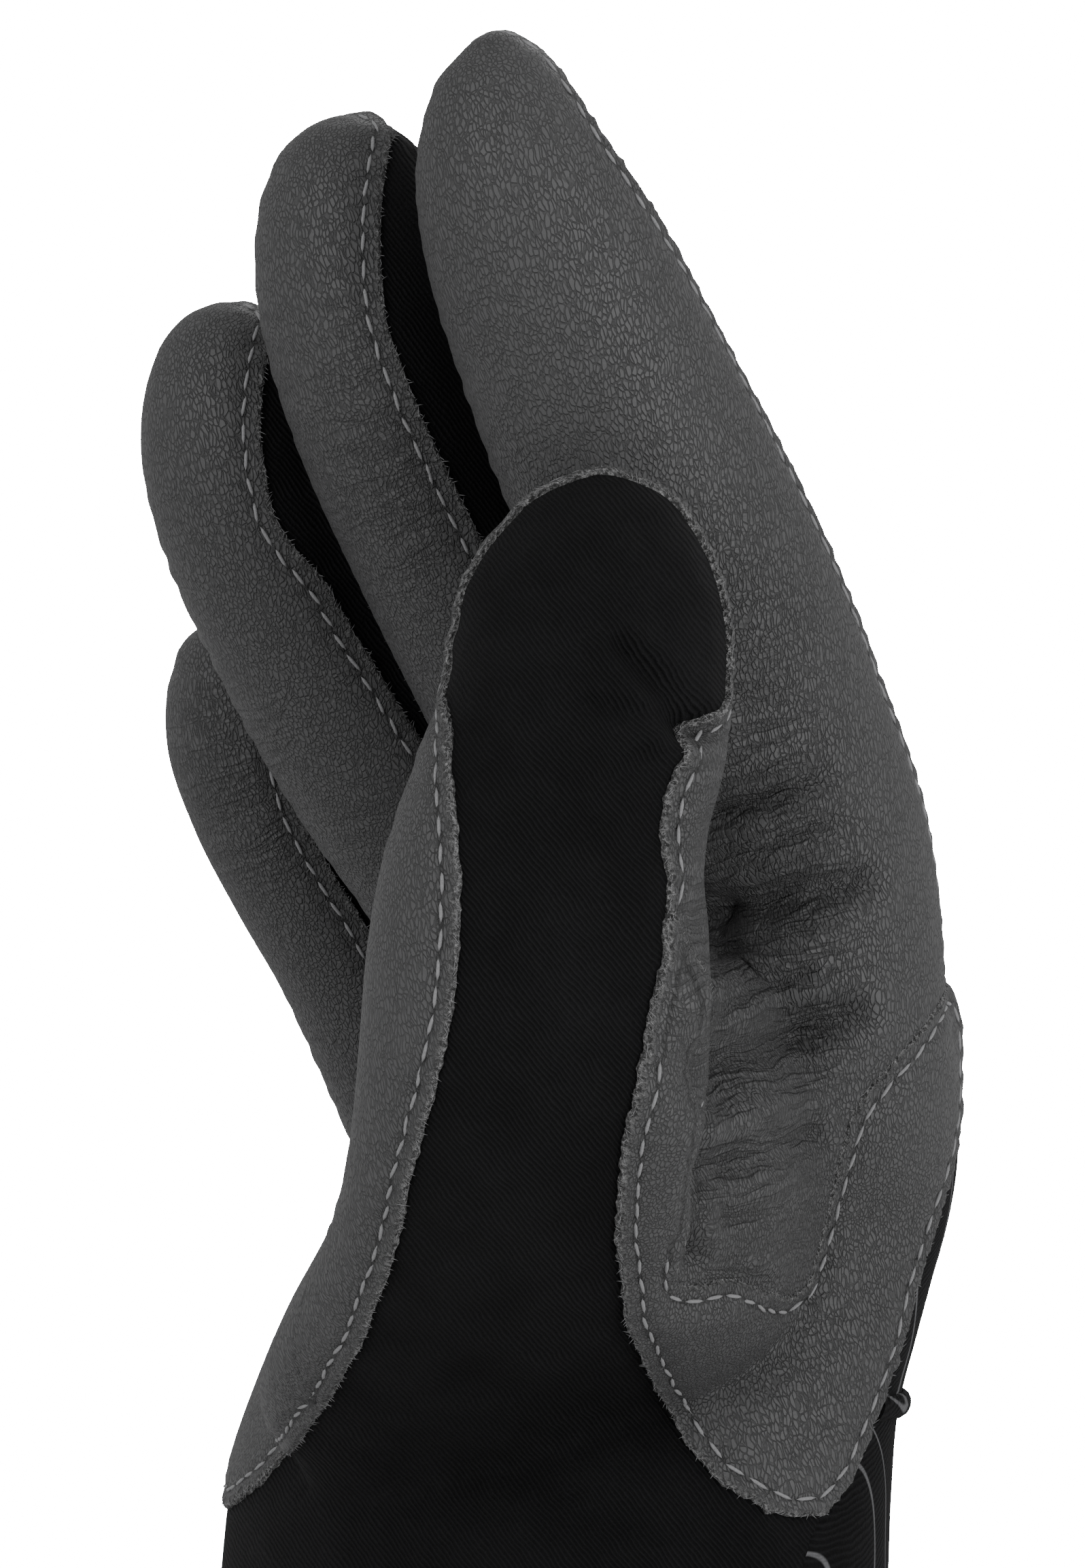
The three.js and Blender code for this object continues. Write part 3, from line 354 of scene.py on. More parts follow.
def smooth_at(rows, value, column):
    """One column of a table at given places, as a smooth curve through its rows."""
    known, wanted = rows["up"], rows[column]
    slope = np.gradient(wanted, known)
    i = np.clip(np.searchsorted(known, value) - 1, 0, len(known) - 2)
    run = known[i + 1] - known[i]
    t = np.clip((value - known[i]) / run, 0, 1)
    start = (1 + 2 * t) * (1 - t) ** 2 * wanted[i] + t * (1 - t) ** 2 * run * slope[i]
    return start + t * t * (3 - 2 * t) * wanted[i + 1] + t * t * (t - 1) * run * slope[i + 1]


def columns_at(rows, value, *columns):
    return [smooth_at(rows, value, column) for column in columns]


def smoothstep(value, low, high):
    t = np.clip((value - low) / (high - low), 0, 1)
    return t * t * (3 - 2 * t)


def mix(a, b, share):
    return a + (b - a) * share


def turned(degrees):
    """Directions to the right and towards the viewpoint, as seen from an azimuth."""
    turn = math.radians(degrees)
    return np.array((math.cos(turn), math.sin(turn), 0)), np.array((math.sin(turn), -math.cos(turn), 0))


def on_face(points):
    """Places as seen from the thumb's face, in shares of the palm's width and height."""
    return points @ turned(THUMB_FACE)[0] / shape().palm_width, points[:, 2] / shape().palm_height


def beside_run(spots, start, end):
    """Where along a straight run each spot lies, as a share, and how far it is from it."""
    run = end - start
    share = np.clip((spots - start) @ run / (run @ run), 0, 1)
    return share, np.linalg.norm(spots - start - share[:, None] * run, axis=1)


def finger_list():
    s = shape()
    rows = (
        (-0.352, 0.89, 0.180, s.pinky_length, s.pinky_width, 1, PINKY_TABLE),
        (-0.118, 1.00, 0.120, s.ring_length, s.ring_width, 1, RING_TABLE),
        (0.130, 1.00, 0.130, s.middle_length, s.middle_width, 1, MIDDLE_TABLE),
        (0.418, 1.00, 0.090, s.index_length, s.index_width, INDEX_SHARE_DEPTH, INDEX_TABLE),
    )
    return [{"side": side, "root": root, "back": back, "length": length, "width": width,
             "depth": width * deep, "rows": table_rows}
            for side, root, back, length, width, deep, table_rows in rows]


def palm_middle(z):
    return smooth_at(PALM_TABLE, z / shape().palm_height, "back") * shape().palm_depth


def finger_middle(finger, z):
    s = shape()
    root, root_back = finger["root"] * s.palm_height, finger["back"] * s.palm_depth
    up = (z - root) / finger["length"]
    above = root_back - smooth_at(finger["rows"], up, "fore") * finger["length"]
    below = mix(root_back, palm_middle(z), np.clip((root - z) / (KNUCKLE_BLEND * s.palm_height), 0, 1))
    return np.where(z >= root, above, below)


def thumb_middle(z):
    s = shape()
    across, out = turned(THUMB_FACE)
    up = (z - THUMB_ROOT * s.palm_height) / s.thumb_length
    side, reach = (values[:, None] * s.thumb_length for values in columns_at(THUMB_TABLE, up, "side", "out"))
    return across * side + out * reach + np.array((0, 0, 1.0)) * z[:, None]


# The outer form


def tube(centres, wide_axes, deep_axes, wide, deep):
    """Points and faces of a closed tube through oval sections."""
    turn = np.linspace(0, 2 * math.pi, SIDES, endpoint=False)
    wide_axes, deep_axes = (np.broadcast_to(axes, centres.shape) for axes in (wide_axes, deep_axes))
    ring = (wide_axes[:, None] * (wide[:, None] * np.cos(turn))[..., None]
            + deep_axes[:, None] * (deep[:, None] * np.sin(turn))[..., None])
    points = (centres[:, None] + ring).reshape(-1, 3)
    faces = []
    for row in range(len(centres) - 1):
        low = row * SIDES
        for i in range(SIDES):
            following = (i + 1) % SIDES
            faces.append((low + i, low + following, low + SIDES + following, low + SIDES + i))
    faces.append(tuple(range(SIDES))[::-1])
    faces.append(tuple(range(len(points) - SIDES, len(points))))
    return points, faces


def ring_places(rows):
    return np.linspace(rows["up"][0], rows["up"][-1], RINGS)


def palm_tube():
    s = shape()
    up = ring_places(PALM_TABLE)
    back, slope, wide, deep = columns_at(PALM_TABLE, up, "back", "slope", "wide", "deep")
    centres = np.stack((up * 0, back * s.palm_depth, up * s.palm_height), 1)
    wide_axes = np.stack((up * 0 + 1, up * 0, slope), 1)
    return tube(centres, wide_axes, (0.0, 1.0, 0.0), wide * s.palm_width / 2, deep * s.palm_depth / 2)


def finger_tube(finger):
    s = shape()
    up = ring_places(finger["rows"])
    fore, wide, deep = columns_at(finger["rows"], up, "fore", "wide", "deep")
    centres = np.stack((up * 0 + finger["side"] * s.palm_width,
                        finger["back"] * s.palm_depth - fore * finger["length"],
                        finger["root"] * s.palm_height + up * finger["length"]), 1)
    along = np.gradient(centres, axis=0)
    along = along + np.roll(along, BEND_REACH, 0) + np.roll(along, -BEND_REACH, 0)
    along[:BEND_REACH + 1], along[-BEND_REACH - 1:] = along[BEND_REACH + 1], along[-BEND_REACH - 2]
    along /= np.linalg.norm(along, axis=1)[:, None]
    wide_axis = np.array((1.0, 0.0, 0.0))
    return tube(centres, wide_axis, np.cross(along, wide_axis),
                wide * finger["width"] / 2, deep * finger["depth"] / 2)


def thumb_tube():
    s = shape()
    across, out = turned(THUMB_FACE)
    up = ring_places(THUMB_TABLE)
    wide, deep = columns_at(THUMB_TABLE, up, "wide", "deep")
    return tube(thumb_middle(THUMB_ROOT * s.palm_height + up * s.thumb_length), across, -out,
                wide * s.thumb_width / 2, deep * s.thumb_depth / 2)


def web_tube():
    s = shape()
    up = ring_places(WEB_TABLE)
    wide_axis, towards = turned(WEB_TURN)
    right, back, wide, deep = (values * s.palm_width for values in columns_at(
        WEB_TABLE, up, "right", "back", "wide", "deep"))
    return tube(np.stack((right, back, up * s.palm_height), 1), wide_axis, -towards, wide, deep)


def add_object(name, data):
    made = bpy.data.objects.new(name, data)
    bpy.context.scene.collection.objects.link(made)
    return made


def add_mesh(name, points, edges, faces):
    mesh = bpy.data.meshes.new(name)
    mesh.from_pydata(points, edges, faces)
    return mesh


def add_attribute(mesh, name, values):
    """Point data of a mesh: a number or a vector for each point."""
    kind, slot = ("FLOAT_VECTOR", "vector") if values.ndim > 1 else ("FLOAT", "value")
    mesh.attributes.new(name, kind, "POINT").data.foreach_set(slot, values.ravel())


def evaluated_mesh(made):
    """The mesh that an object's modifiers make; the object itself is removed."""
    mesh = bpy.data.meshes.new_from_object(made.evaluated_get(bpy.context.evaluated_depsgraph_get()))
    bpy.data.objects.remove(made)
    return mesh


def mesh_arrays(mesh):
    mesh.calc_loop_triangles()
    points = np.empty(len(mesh.vertices) * 3)
    mesh.vertices.foreach_get("co", points)
    triangles = np.empty(len(mesh.loop_triangles) * 3, dtype=np.int64)
    mesh.loop_triangles.foreach_get("vertices", triangles)
    return points.reshape(-1, 3), triangles.reshape(-1, 3)


def closed_form():
    """All tubes joined into one closed skin of even cells."""
    points, faces, start = [], [], 0
    for tube_points, tube_faces in (palm_tube(), web_tube(), thumb_tube(), *map(finger_tube, finger_list())):
        points.append(tube_points)
        faces += [tuple(start + i for i in face) for face in tube_faces]
        start += len(tube_points)
    form = add_object("form", add_mesh("form", np.concatenate(points).tolist(), [], faces))
    remesh = form.modifiers.new("Cells", "REMESH")
    remesh.mode = "VOXEL"
    remesh.voxel_size = shape().cell
    rough, even = form.data, evaluated_mesh(form)
    arrays = mesh_arrays(even)
    for mesh in (rough, even):
        bpy.data.meshes.remove(mesh)
    return arrays


def edges_of(triangles):
    return np.concatenate([triangles[:, pair] for pair in ((0, 1), (1, 2), (2, 0))])


def edge_pairs(triangles):
    return np.unique(np.sort(edges_of(triangles), axis=1), axis=0)


def averaged(values, pairs):
    """Each point's mean over its neighbours."""
    total = np.zeros_like(values)
    count = np.bincount(pairs.ravel(), minlength=len(values)).astype(float)
    for column in range(values.shape[1]):
        total[:, column] = (
            np.bincount(pairs[:, 0], values[pairs[:, 1], column], len(values))
            + np.bincount(pairs[:, 1], values[pairs[:, 0], column], len(values)))
    return total / np.maximum(count, 1)[:, None]


def relaxed(points, pairs, rounds):
    """Evens out the cells without shrinking the form: a step inwards, then one outwards."""
    for _ in range(rounds):
        for share in RELAX_STEPS:
            points = points + share * (averaged(points, pairs) - points)
    return points


def normals_of(points, triangles):
    a, b, c = (points[triangles[:, i]] for i in range(3))
    face = np.cross(b - a, c - a)
    normals = np.zeros_like(points)
    for column in range(3):
        for corner in range(3):
            normals[:, column] += np.bincount(triangles[:, corner], face[:, column], len(points))
    return normals / np.maximum(np.linalg.norm(normals, axis=1), 1e-12)[:, None]


# Seams: every field is positive on its own piece and reads as a distance in metres


def hand_middle(points):
    """How far back the middle of the hand and of its fingers lies, next to each point."""
    fingers = finger_list()
    x, z = points[:, 0], points[:, 2]
    middle = finger_middle(fingers[0], z)
    for before, finger in zip(fingers, fingers[1:]):
        halfway = (before["side"] + finger["side"]) / 2 * shape().palm_width
        share = smoothstep(x, halfway - FINGER_BLEND, halfway + FINGER_BLEND)
        middle = mix(middle, finger_middle(finger, z), share)
    return middle


def radial_seam(z):
    s = shape()
    index = finger_list()[3]
    root = index["root"] * s.palm_height
    low = smooth_at(BACK_SEAM, z / s.palm_height, "back") * s.palm_depth
    share = smooth_at(INDEX_SEAM, (z - root) / index["length"], "back")
    high = finger_middle(index, z) + share * index["depth"]
    return mix(low, high, smoothstep(z, root, root + INDEX_SEAM["up"][0] * index["length"]))


def strip_half(points):
    """Half the width of the strips between the fingers, which run out at the fingertips."""
    s = shape()
    fingers = finger_list()
    x = np.array([finger["side"] * s.palm_width for finger in fingers])
    tip = np.array([finger["root"] * s.palm_height + finger["length"] for finger in fingers])
    nearest = np.argmin(np.abs(points[:, :1] - x), axis=1)
    run = (tip[nearest] - points[:, 2]) / s.strip_width - STRIP_END
    return s.strip_width / 2 * np.sqrt(np.clip(run / STRIP_TAPER, 0, 1))


def outer_fingers():
    """Where the index and the little finger stand across the palm."""
    pinky, *_, index = finger_list()
    return index["side"] * shape().palm_width, pinky["side"] * shape().palm_width


def back_field(points):
    index_x, pinky_x = outer_fingers()
    middle = hand_middle(points)
    radial = smoothstep(points[:, 0], index_x - SEAM_BLEND, index_x + SEAM_BLEND)
    ulnar = smoothstep(-points[:, 0], -pinky_x - SEAM_BLEND, -pinky_x + SEAM_BLEND)
    seam = ((middle + strip_half(points)) * (1 - radial - ulnar) + radial_seam(points[:, 2]) * radial
            + (middle - MM) * ulnar)
    return points[:, 1] - seam


def strip_field(points):
    index_x, pinky_x = outer_fingers()
    value = points[:, 1] - hand_middle(points) + strip_half(points)
    inner = (points[:, 0] > pinky_x + SEAM_BLEND) & (points[:, 0] < index_x - SEAM_BLEND)
    return np.where(inner, value, -shape().palm_width)


def past_thumb(points):
    """How far a point lies out past the limit of the black panel."""
    s = shape()
    limit = smooth_at(PANEL_OUT, points[:, 2] / s.palm_height, "out") * s.thumb_width
    return (points - thumb_middle(points[:, 2])) @ turned(THUMB_FACE)[1] - limit


def panel_field(points):
    s = shape()
    up = points[:, 2] / s.palm_height
    across, out = turned(THUMB_FACE)
    high = points @ turned(PANEL_LEFT_VIEW)[0] - smooth_at(PANEL_LEFT, up, "side") * s.palm_width
    low = points @ across - np.interp(up, PANEL_LOW["up"], PANEL_LOW["side"]) * s.palm_width
    share = smoothstep(points @ out / s.palm_width, *LOW_EDGE_OUT) * (1 - smoothstep(up, *LOW_EDGE_UP))
    right = np.interp(up, PANEL_RIGHT["up"], PANEL_RIGHT["side"]) * s.palm_width - points @ across
    left = mix(high, np.minimum(low, high + LOW_EDGE_REACH), share)
    return np.minimum(np.minimum(left, right), past_thumb(points))


def rounded_outline(corners, rounds):
    """Cuts the corners of a closed outline."""
    for _ in range(rounds):
        following = np.roll(corners, -1, 0)
        corners = np.stack((mix(corners, following, 0.25), mix(corners, following, 0.75)), 1).reshape(-1, 2)
    return corners


def inside_distance(outline, spots):
    """Distance to a closed outline, positive inside it."""
    nearest = np.full(len(spots), np.inf)
    inside = np.zeros(len(spots), bool)
    for start, end in zip(outline, np.roll(outline, -1, 0)):
        nearest = np.minimum(nearest, beside_run(spots, start, end)[1])
        run = end - start
        crosses = (start[1] > spots[:, 1]) != (end[1] > spots[:, 1])
        crossing = start[0] + run[0] * (spots[:, 1] - start[1]) / (run[1] or 1e-9)
        inside ^= crosses & (spots[:, 0] < crossing)
    return np.where(inside, nearest, -nearest)


def side_panel_field(points):
    s = shape()
    spots = np.stack((points @ turned(THUMB_FACE)[0], points[:, 2]), 1)
    outline = np.stack((SIDE_PANEL["side"] * s.palm_width, SIDE_PANEL["up"] * s.palm_height), 1)
    up = points[:, 2] / s.palm_height
    edge = (smooth_at(PANEL_LEFT, up, "side") + PANEL_FRONT) * s.palm_width
    front = points @ turned(PANEL_LEFT_VIEW)[0] - edge
    arm = np.where(spots[:, 0] < PANEL_ARM * s.palm_width, past_thumb(points), s.palm_width)
    return np.minimum(np.minimum(inside_distance(rounded_outline(outline, 2), spots), front), arm)


def thumb_field(points):
    s = shape()
    across, out = turned(THUMB_FACE)
    up = points[:, 2] / s.palm_height
    face = smooth_at(THUMB_SEAM_FACE, up, "side") * s.palm_width - points @ across
    palm = points[:, 0] - smooth_at(THUMB_SEAM_PALM, up, "side") * s.palm_width
    clear = points @ out - np.interp(up, THUMB_CLEAR["up"], THUMB_CLEAR["out"]) * s.palm_width
    return np.minimum(np.minimum(face, palm), clear)


def as_distance(field, points):
    """A field divided by its slope, which makes it read as a distance near its zero line."""
    step = 0.5 * MM
    slope = [(field(points + move) - field(points - move)) / (2 * step) for move in np.eye(3) * step]
    return field(points) / np.maximum(np.linalg.norm(slope, axis=0), LEAST_SLOPE)


# Folds and wrinkles


def fold_depth(points, normals):
    """How deep the folds press each point in; beside a fold the leather swells a little."""
    s = shape()
    across, out = turned(THUMB_FACE)
    facing = np.clip(normals @ out, 0, 1) * (points @ out > FOLDS_FROM * s.palm_width)
    spots = np.stack((points @ across, points[:, 2]), 1)
    size = np.array((s.palm_width, s.palm_height))
    depth = np.zeros(len(points))
    for side, up, to_side, to_up, deep, width in zip(*FOLDS.values()):
        share, miss = beside_run(spots, np.array((side, up)) * size, np.array((to_side, to_up)) * size)
        miss /= width * MM * (1.25 - 0.6 * share)
        crease = np.exp(-miss * miss) - FOLD_SWELL * np.exp(-((miss - SWELL_AT) / SWELL_WIDTH) ** 2)
        depth += deep * MM * crease * (1 - 0.5 * share)
    return depth * facing


def wrinkled(points):
    """How strongly the leather is finely wrinkled at each point."""
    side, up = on_face(points)
    total = np.zeros(len(points))
    for middle_side, middle_up, half_side, half_up, strength in zip(*WRINKLED.values()):
        miss = np.hypot((side - middle_side) / half_side, (up - middle_up) / half_up)
        total = np.maximum(total, strength * smoothstep(-miss, -1.25, -0.5))
    return total


def rippled(points, normals):
    """Fine cross wrinkles on the palm faces of the fingers and on the inner side of the thumb."""
    x, y, z = (points / MM).T
    along = z - COURSE_FALL * y
    waver = 1.2 * np.sin(x / 5.1 + z / 17) + 0.8 * np.sin(x / 2.9 - z / 11 + 1)
    wave = np.sin((along + waver) * 2 * math.pi / 4.3) + 0.6 * np.sin((along - waver) * 2 * math.pi / 2.9 + 1)
    patches = np.clip(np.sin(z / 13 + x / 9) + 0.5 * np.sin(z / 7.3 - x / 14) + 0.3, 0, 1)
    palm_side = np.clip(-normals[:, 1] + 0.3, 0, 1)
    return RIPPLE * wave * patches * smoothstep(z, *RIPPLES_UP) * palm_side


def used_part(skin, triangles):
    """A skin cut down to the points that the given triangles use."""
    used, renumbered = np.unique(triangles, return_inverse=True)
    part = {name: data[used] for name, data in skin.items() if name != "triangles"}
    part["triangles"] = renumbered.reshape(-1, 3)
    return part


# A skin is a dictionary of point arrays, with its triangles


def clipped(skin, values):
    """Keeps what lies on the positive side of a field, cut cleanly along its zero line."""
    margin = 0.02 * MM
    level = np.where(np.abs(values) < margin, np.where(values < 0, -margin, margin), values)
    triangles = skin["triangles"]
    inside = level[triangles] > 0
    count = inside.sum(1)
    one, two = triangles[count == 1], triangles[count == 2]
    one = np.take_along_axis(one, (np.argmax(inside[count == 1], 1)[:, None] + np.arange(3)) % 3, 1)
    two = np.take_along_axis(two, (np.argmin(inside[count == 2], 1)[:, None] + np.arange(3)) % 3, 1)
    cuts = np.concatenate((one[:, (0, 1)], one[:, (0, 2)], two[:, (0, 1)], two[:, (0, 2)]))
    pairs, which = np.unique(np.sort(cuts, axis=1), axis=0, return_inverse=True)
    share = level[pairs[:, 0]] / (level[pairs[:, 0]] - level[pairs[:, 1]])
    result = {}
    for name, data in skin.items():
        if name != "triangles":
            weight = share.reshape((-1,) + (1,) * (data.ndim - 1))
            result[name] = np.concatenate((data, mix(data[pairs[:, 0]], data[pairs[:, 1]], weight)))
    ones, twos = len(one), len(two)
    first, second, third, fourth = np.split(which.ravel() + len(level), (ones, 2 * ones, 2 * ones + twos))
    return used_part(result, np.concatenate((
        triangles[count == 3],
        np.stack((one[:, 0], first, second), 1),
        np.stack((third, two[:, 1], two[:, 2]), 1),
        np.stack((third, two[:, 2], fourth), 1))))


def largest_part(skin):
    """Drops loose specks of a skin."""
    group = np.arange(len(skin["place"]))
    pairs = edge_pairs(skin["triangles"])
    while True:
        lowest = np.minimum(group[pairs[:, 0]], group[pairs[:, 1]])
        before = group.copy()
        np.minimum.at(group, pairs[:, 0], lowest)
        np.minimum.at(group, pairs[:, 1], lowest)
        group = group[group]
        if np.array_equal(before, group):
            break
    sizes = np.bincount(group)
    return used_part(skin, skin["triangles"][sizes[group[skin["triangles"][:, 0]]] > SPECK * sizes.max()])


def rim_of(triangles):
    """Directed edges that belong to one triangle only."""
    edges = edges_of(triangles)
    _, which, count = np.unique(np.sort(edges, axis=1), axis=0, return_inverse=True, return_counts=True)
    return edges[count[which.ravel()] == 1]


def distance_to(points, targets):
    """Distance from each point to the nearest of the targets."""
    tree = kdtree.KDTree(len(targets))
    for i, target in enumerate(targets):
        tree.insert(target, i)
    tree.balance()
    return np.array([tree.find(point)[2] for point in points])


def eased_root(points, pairs):
    """Smooths the ledge where the index finger's root meets the thumb side of the palm."""
    side, up = on_face(points)
    share = smoothstep(side, *ROOT_SIDE) * smoothstep(-np.abs(up - ROOT_UP), -ROOT_REACH, -0.5 * ROOT_REACH)
    smooth = points
    for _ in range(ROOT_ROUNDS):
        smooth = averaged(smooth, pairs)
    return mix(points, smooth, share[:, None])


FORM = {}


def form_skin():
    """The outer form, open at the cuff, with its seams' fields as point data; made the first time only."""
    if FORM:
        return FORM["skin"]
    points, triangles = closed_form()
    pairs = edge_pairs(triangles)
    points = eased_root(relaxed(points, pairs, 9), pairs)
    fields = {}
    for name, field in (("back", back_field), ("strip", strip_field), ("panel", panel_field),
                        ("side", side_panel_field), ("thumb", thumb_field)):
        value = np.clip(as_distance(field, points), -FIELD_REACH, FIELD_REACH)
        fields[name] = relaxed(value[:, None], pairs, 5)[:, 0]
    normals = normals_of(points, triangles)
    for _ in range(3):
        normals = averaged(normals, pairs)
    rest = points
    points = points - normals * fold_depth(points, normals)[:, None]
    leather = np.minimum(-fields["back"], -fields["strip"])
    ripples = rippled(points, normals) * smoothstep(leather, -0.5 * MM, 1.5 * MM)
    points = relaxed(points + normals * ripples[:, None], pairs, 1)
    normals = averaged(normals_of(points, triangles), pairs)
    normals /= np.linalg.norm(normals, axis=1)[:, None]
    height = rest[:, 2]
    skin = {"place": points, "normal": normals, "rest": rest, "height": height, "triangles": triangles, **fields}
    FORM["skin"] = clipped(skin, height - CUFF_CUT)
    return FORM["skin"]


def uneven(points):
    """A steady, uneven wave between -1 and 1."""
    x, y, z = (points / MM).T
    return (np.sin(2.1 * x + 1.7 * z) + np.sin(3.3 * z - 2.2 * y + 1) + np.sin(1.3 * x + 2.9 * y + 0.9 * z + 2)) / 3


def cut_piece(bounds, laps, ragged=0.0):
    """Cuts a piece: bounds are its fields, positive inside, and laps how far it passes each of them."""
    skin = form_skin()
    waver = ragged * uneven(skin["rest"])
    limits = np.stack([bound(skin) + waver * (bound in CUT_EDGES) for bound in bounds])
    skin = {**skin, "under": np.clip(-limits.min(0), 0, None)}
    piece = largest_part(clipped(skin, (limits + np.array(laps)[:, None]).min(0)))
    rim = np.unique(rim_of(piece["triangles"]))
    flat = np.abs(piece["thumb"]) < ON_SEAM
    flat &= (np.abs(piece["panel"]) > ON_SEAM) & (piece["height"] < FLAT_SEAM_UP * shape().palm_height)
    raw = rim[(piece["under"][rim] < ON_SEAM) & ~flat[rim]]
    piece["edge"] = distance_to(piece["place"], piece["place"][raw]) if len(raw) else piece["height"] * 0 + 1
    return piece


def wall_object(name, skin, outer, inner, material):
    """A closed wall between two distances along the normals, with its point data as attributes."""
    count = len(skin["place"])
    places = np.concatenate([skin["place"] + skin["normal"] * np.broadcast_to(distance, count)[:, None]
                             for distance in (outer, inner)])
    triangles = skin["triangles"]
    start, end = rim_of(triangles).T
    faces = np.concatenate((
        triangles,
        triangles[:, ::-1] + count,
        np.stack((end, start, start + count), 1),
        np.stack((end, start + count, end + count), 1)))
    mesh = add_mesh(name, places.tolist(), [], faces.tolist())
    mesh.validate()
    for attribute in ("edge", "wrinkle", "diagonal", "grain"):
        add_attribute(mesh, attribute, np.concatenate((skin[attribute], skin[attribute])))
    mesh.shade_smooth()
    mesh.set_sharp_from_angle(angle=math.radians(SHARP_FROM))
    mesh.materials.append(material)
    return add_object(name, mesh)


def settle(made, nodes=()):
    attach(made, "root")
    if nodes:
        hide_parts(*nodes)


# Which side of each seam a piece lies on


def seam(name, sign=1):
    """A bound along a seam: positive on its piece, or off it with a sign of -1."""
    def bound(skin):
        return sign * skin[name]
    return bound


on_back, on_front = seam("back"), seam("back", -1)
on_strip, off_strip = seam("strip"), seam("strip", -1)
on_panel, off_panel = seam("panel"), seam("panel", -1)
on_side, off_side = seam("side"), seam("side", -1)
on_thumb, off_thumb = seam("thumb"), seam("thumb", -1)
CUT_EDGES = (on_front, off_panel, on_side)


def over_hem(skin):
    return skin["height"] - shape().hem_height


def rounded_edge(skin, rise, width):
    """Height of a wall that rolls down to its raw edge."""
    near = np.clip(1 - skin["edge"] / width, 0, 1)
    return rise - ROLL * rise * (1 - np.sqrt(1 - near * near))


def pucker(skin, inset):
    """A shallow groove along the stitches, pulled in at each of them."""
    groove = GROOVE * np.exp(-((skin["edge"] - inset) / GROOVE_WIDTH) ** 2)
    pull = np.exp(-((skin["edge"] - inset) / PULL_WIDTH) ** 2)
    return groove + PULL * np.cos(skin["along"] / sewing().stitch_pitch * 2 * math.pi) * pull


def add_courses(skin, degrees=THUMB_FACE):
    """Coordinates for the surfaces: along the hand for puckers, diagonal for twill, and the grain's own."""
    place = skin["rest"]
    skin["along"] = place[:, 2] - COURSE_FALL * place[:, 1]
    skin["wrinkle"] = wrinkled(place)
    across, out = turned(degrees)
    side, up = place @ across, place[:, 2]
    skin["diagonal"] = side + 0.8 * up
    tilt = math.radians(GRAIN_TILT)
    skin["grain"] = np.stack((
        GRAIN_STRETCH * (math.sin(tilt) * side + math.cos(tilt) * up),
        math.cos(tilt) * side - math.sin(tilt) * up,
        place @ out), 1)


def leather_piece(name, bounds, laps, rise):
    kit = sewing()
    skin = cut_piece(bounds, laps, kit.ragged)
    add_courses(skin)
    sink = np.clip(skin["under"] / kit.lap, 0, 1) * LEATHER_SINK
    outer = rounded_edge(skin, rise, EDGE_ROLL) - pucker(skin, kit.stitch_inset) - sink
    inner = np.minimum(outer - LEAST_LEATHER, -kit.leather_depth)
    settle(wall_object(name, skin, outer, inner, leather_material()), [name])
    sew(name, {**skin, "place": skin["place"] + skin["normal"] * outer[:, None]})


def fabric_piece(name, bounds, laps, material, degrees=THUMB_FACE):
    kit = sewing()
    skin = cut_piece(bounds, laps)
    add_courses(skin, degrees)
    sink = np.clip(skin["under"] / (0.6 * kit.lap), 0, 1) * FABRIC_SINK
    settle(wall_object(name, skin, -sink, -sink - kit.fabric_wall, material), [name])


def band(name, bounds, laps, middle, half, rise, inner, material):
    """A raised band, rounded from its middle height to its edges by the rise function."""
    skin = cut_piece(bounds, laps)
    add_courses(skin, 0)
    from_middle = np.clip(np.abs(skin["height"] - middle) / half, 0, 1)
    settle(wall_object(name, skin, rise(from_middle), inner, material), [name])


# Stitches and fibres: lines traced on the skin, then filled by Geometry Nodes

LINES = {"stitches": [], "fibres": []}


def traced(skin, values, level):
    """Runs of points along which a field has one level, with their normals."""
    triangles = skin["triangles"]
    value = values[triangles] - level
    crossing = (value > 0).any(1) & (value <= 0).any(1)
    links, spots = {}, {}
    for corners, height in zip(triangles[crossing], value[crossing]):
        ends = []
        for i, j in ((0, 1), (1, 2), (2, 0)):
            if (height[i] > 0) != (height[j] > 0):
                a, b = int(corners[i]), int(corners[j])
                share = height[i] / (height[i] - height[j])
                name = (a, b) if a < b else (b, a)
                if name not in spots:
                    spots[name] = [mix(skin[kind][a], skin[kind][b], share) for kind in ("place", "normal")]
                ends.append(name)
        links.setdefault(ends[0], []).append(ends[1])
        links.setdefault(ends[1], []).append(ends[0])
    runs = []
    while links:
        start = next((name for name, others in links.items() if len(others) == 1), next(iter(links)))
        run = [start]
        while True:
            others = links.pop(run[-1], [])
            following = [name for name in others if name in links]
            if not following:
                break
            run.append(following[0])
        runs.append([np.array([spots[name][kind] for name in run]) for kind in (0, 1)])
    return runs


def evened(run, step):
    """A run resampled at even steps and smoothed."""
    places, normals = run
    lengths = np.concatenate(((0,), np.cumsum(np.linalg.norm(np.diff(places, axis=0), axis=1))))
    total = lengths[-1]
    if total < 5 * step:
        return None
    wanted = np.linspace(0, total, max(int(total / step), 2))
    columns = [np.interp(wanted, lengths, data[:, i]) for data in (places, normals) for i in range(3)]
    data = np.stack(columns, 1)
    for _ in range(2):
        data[1:-1] = (data[:-2] + 2 * data[1:-1] + data[2:]) / 4
    return data[:, :3], data[:, 3:]


def folded_rim(places):
    """Where the side panel's inner rim turns under and shows no stitches."""
    side, up = on_face(places)
    return (side > RIM_SIDE[0]) & (side < RIM_SIDE[1]) & (up > RIM_UP[0]) & (up < RIM_UP[1])


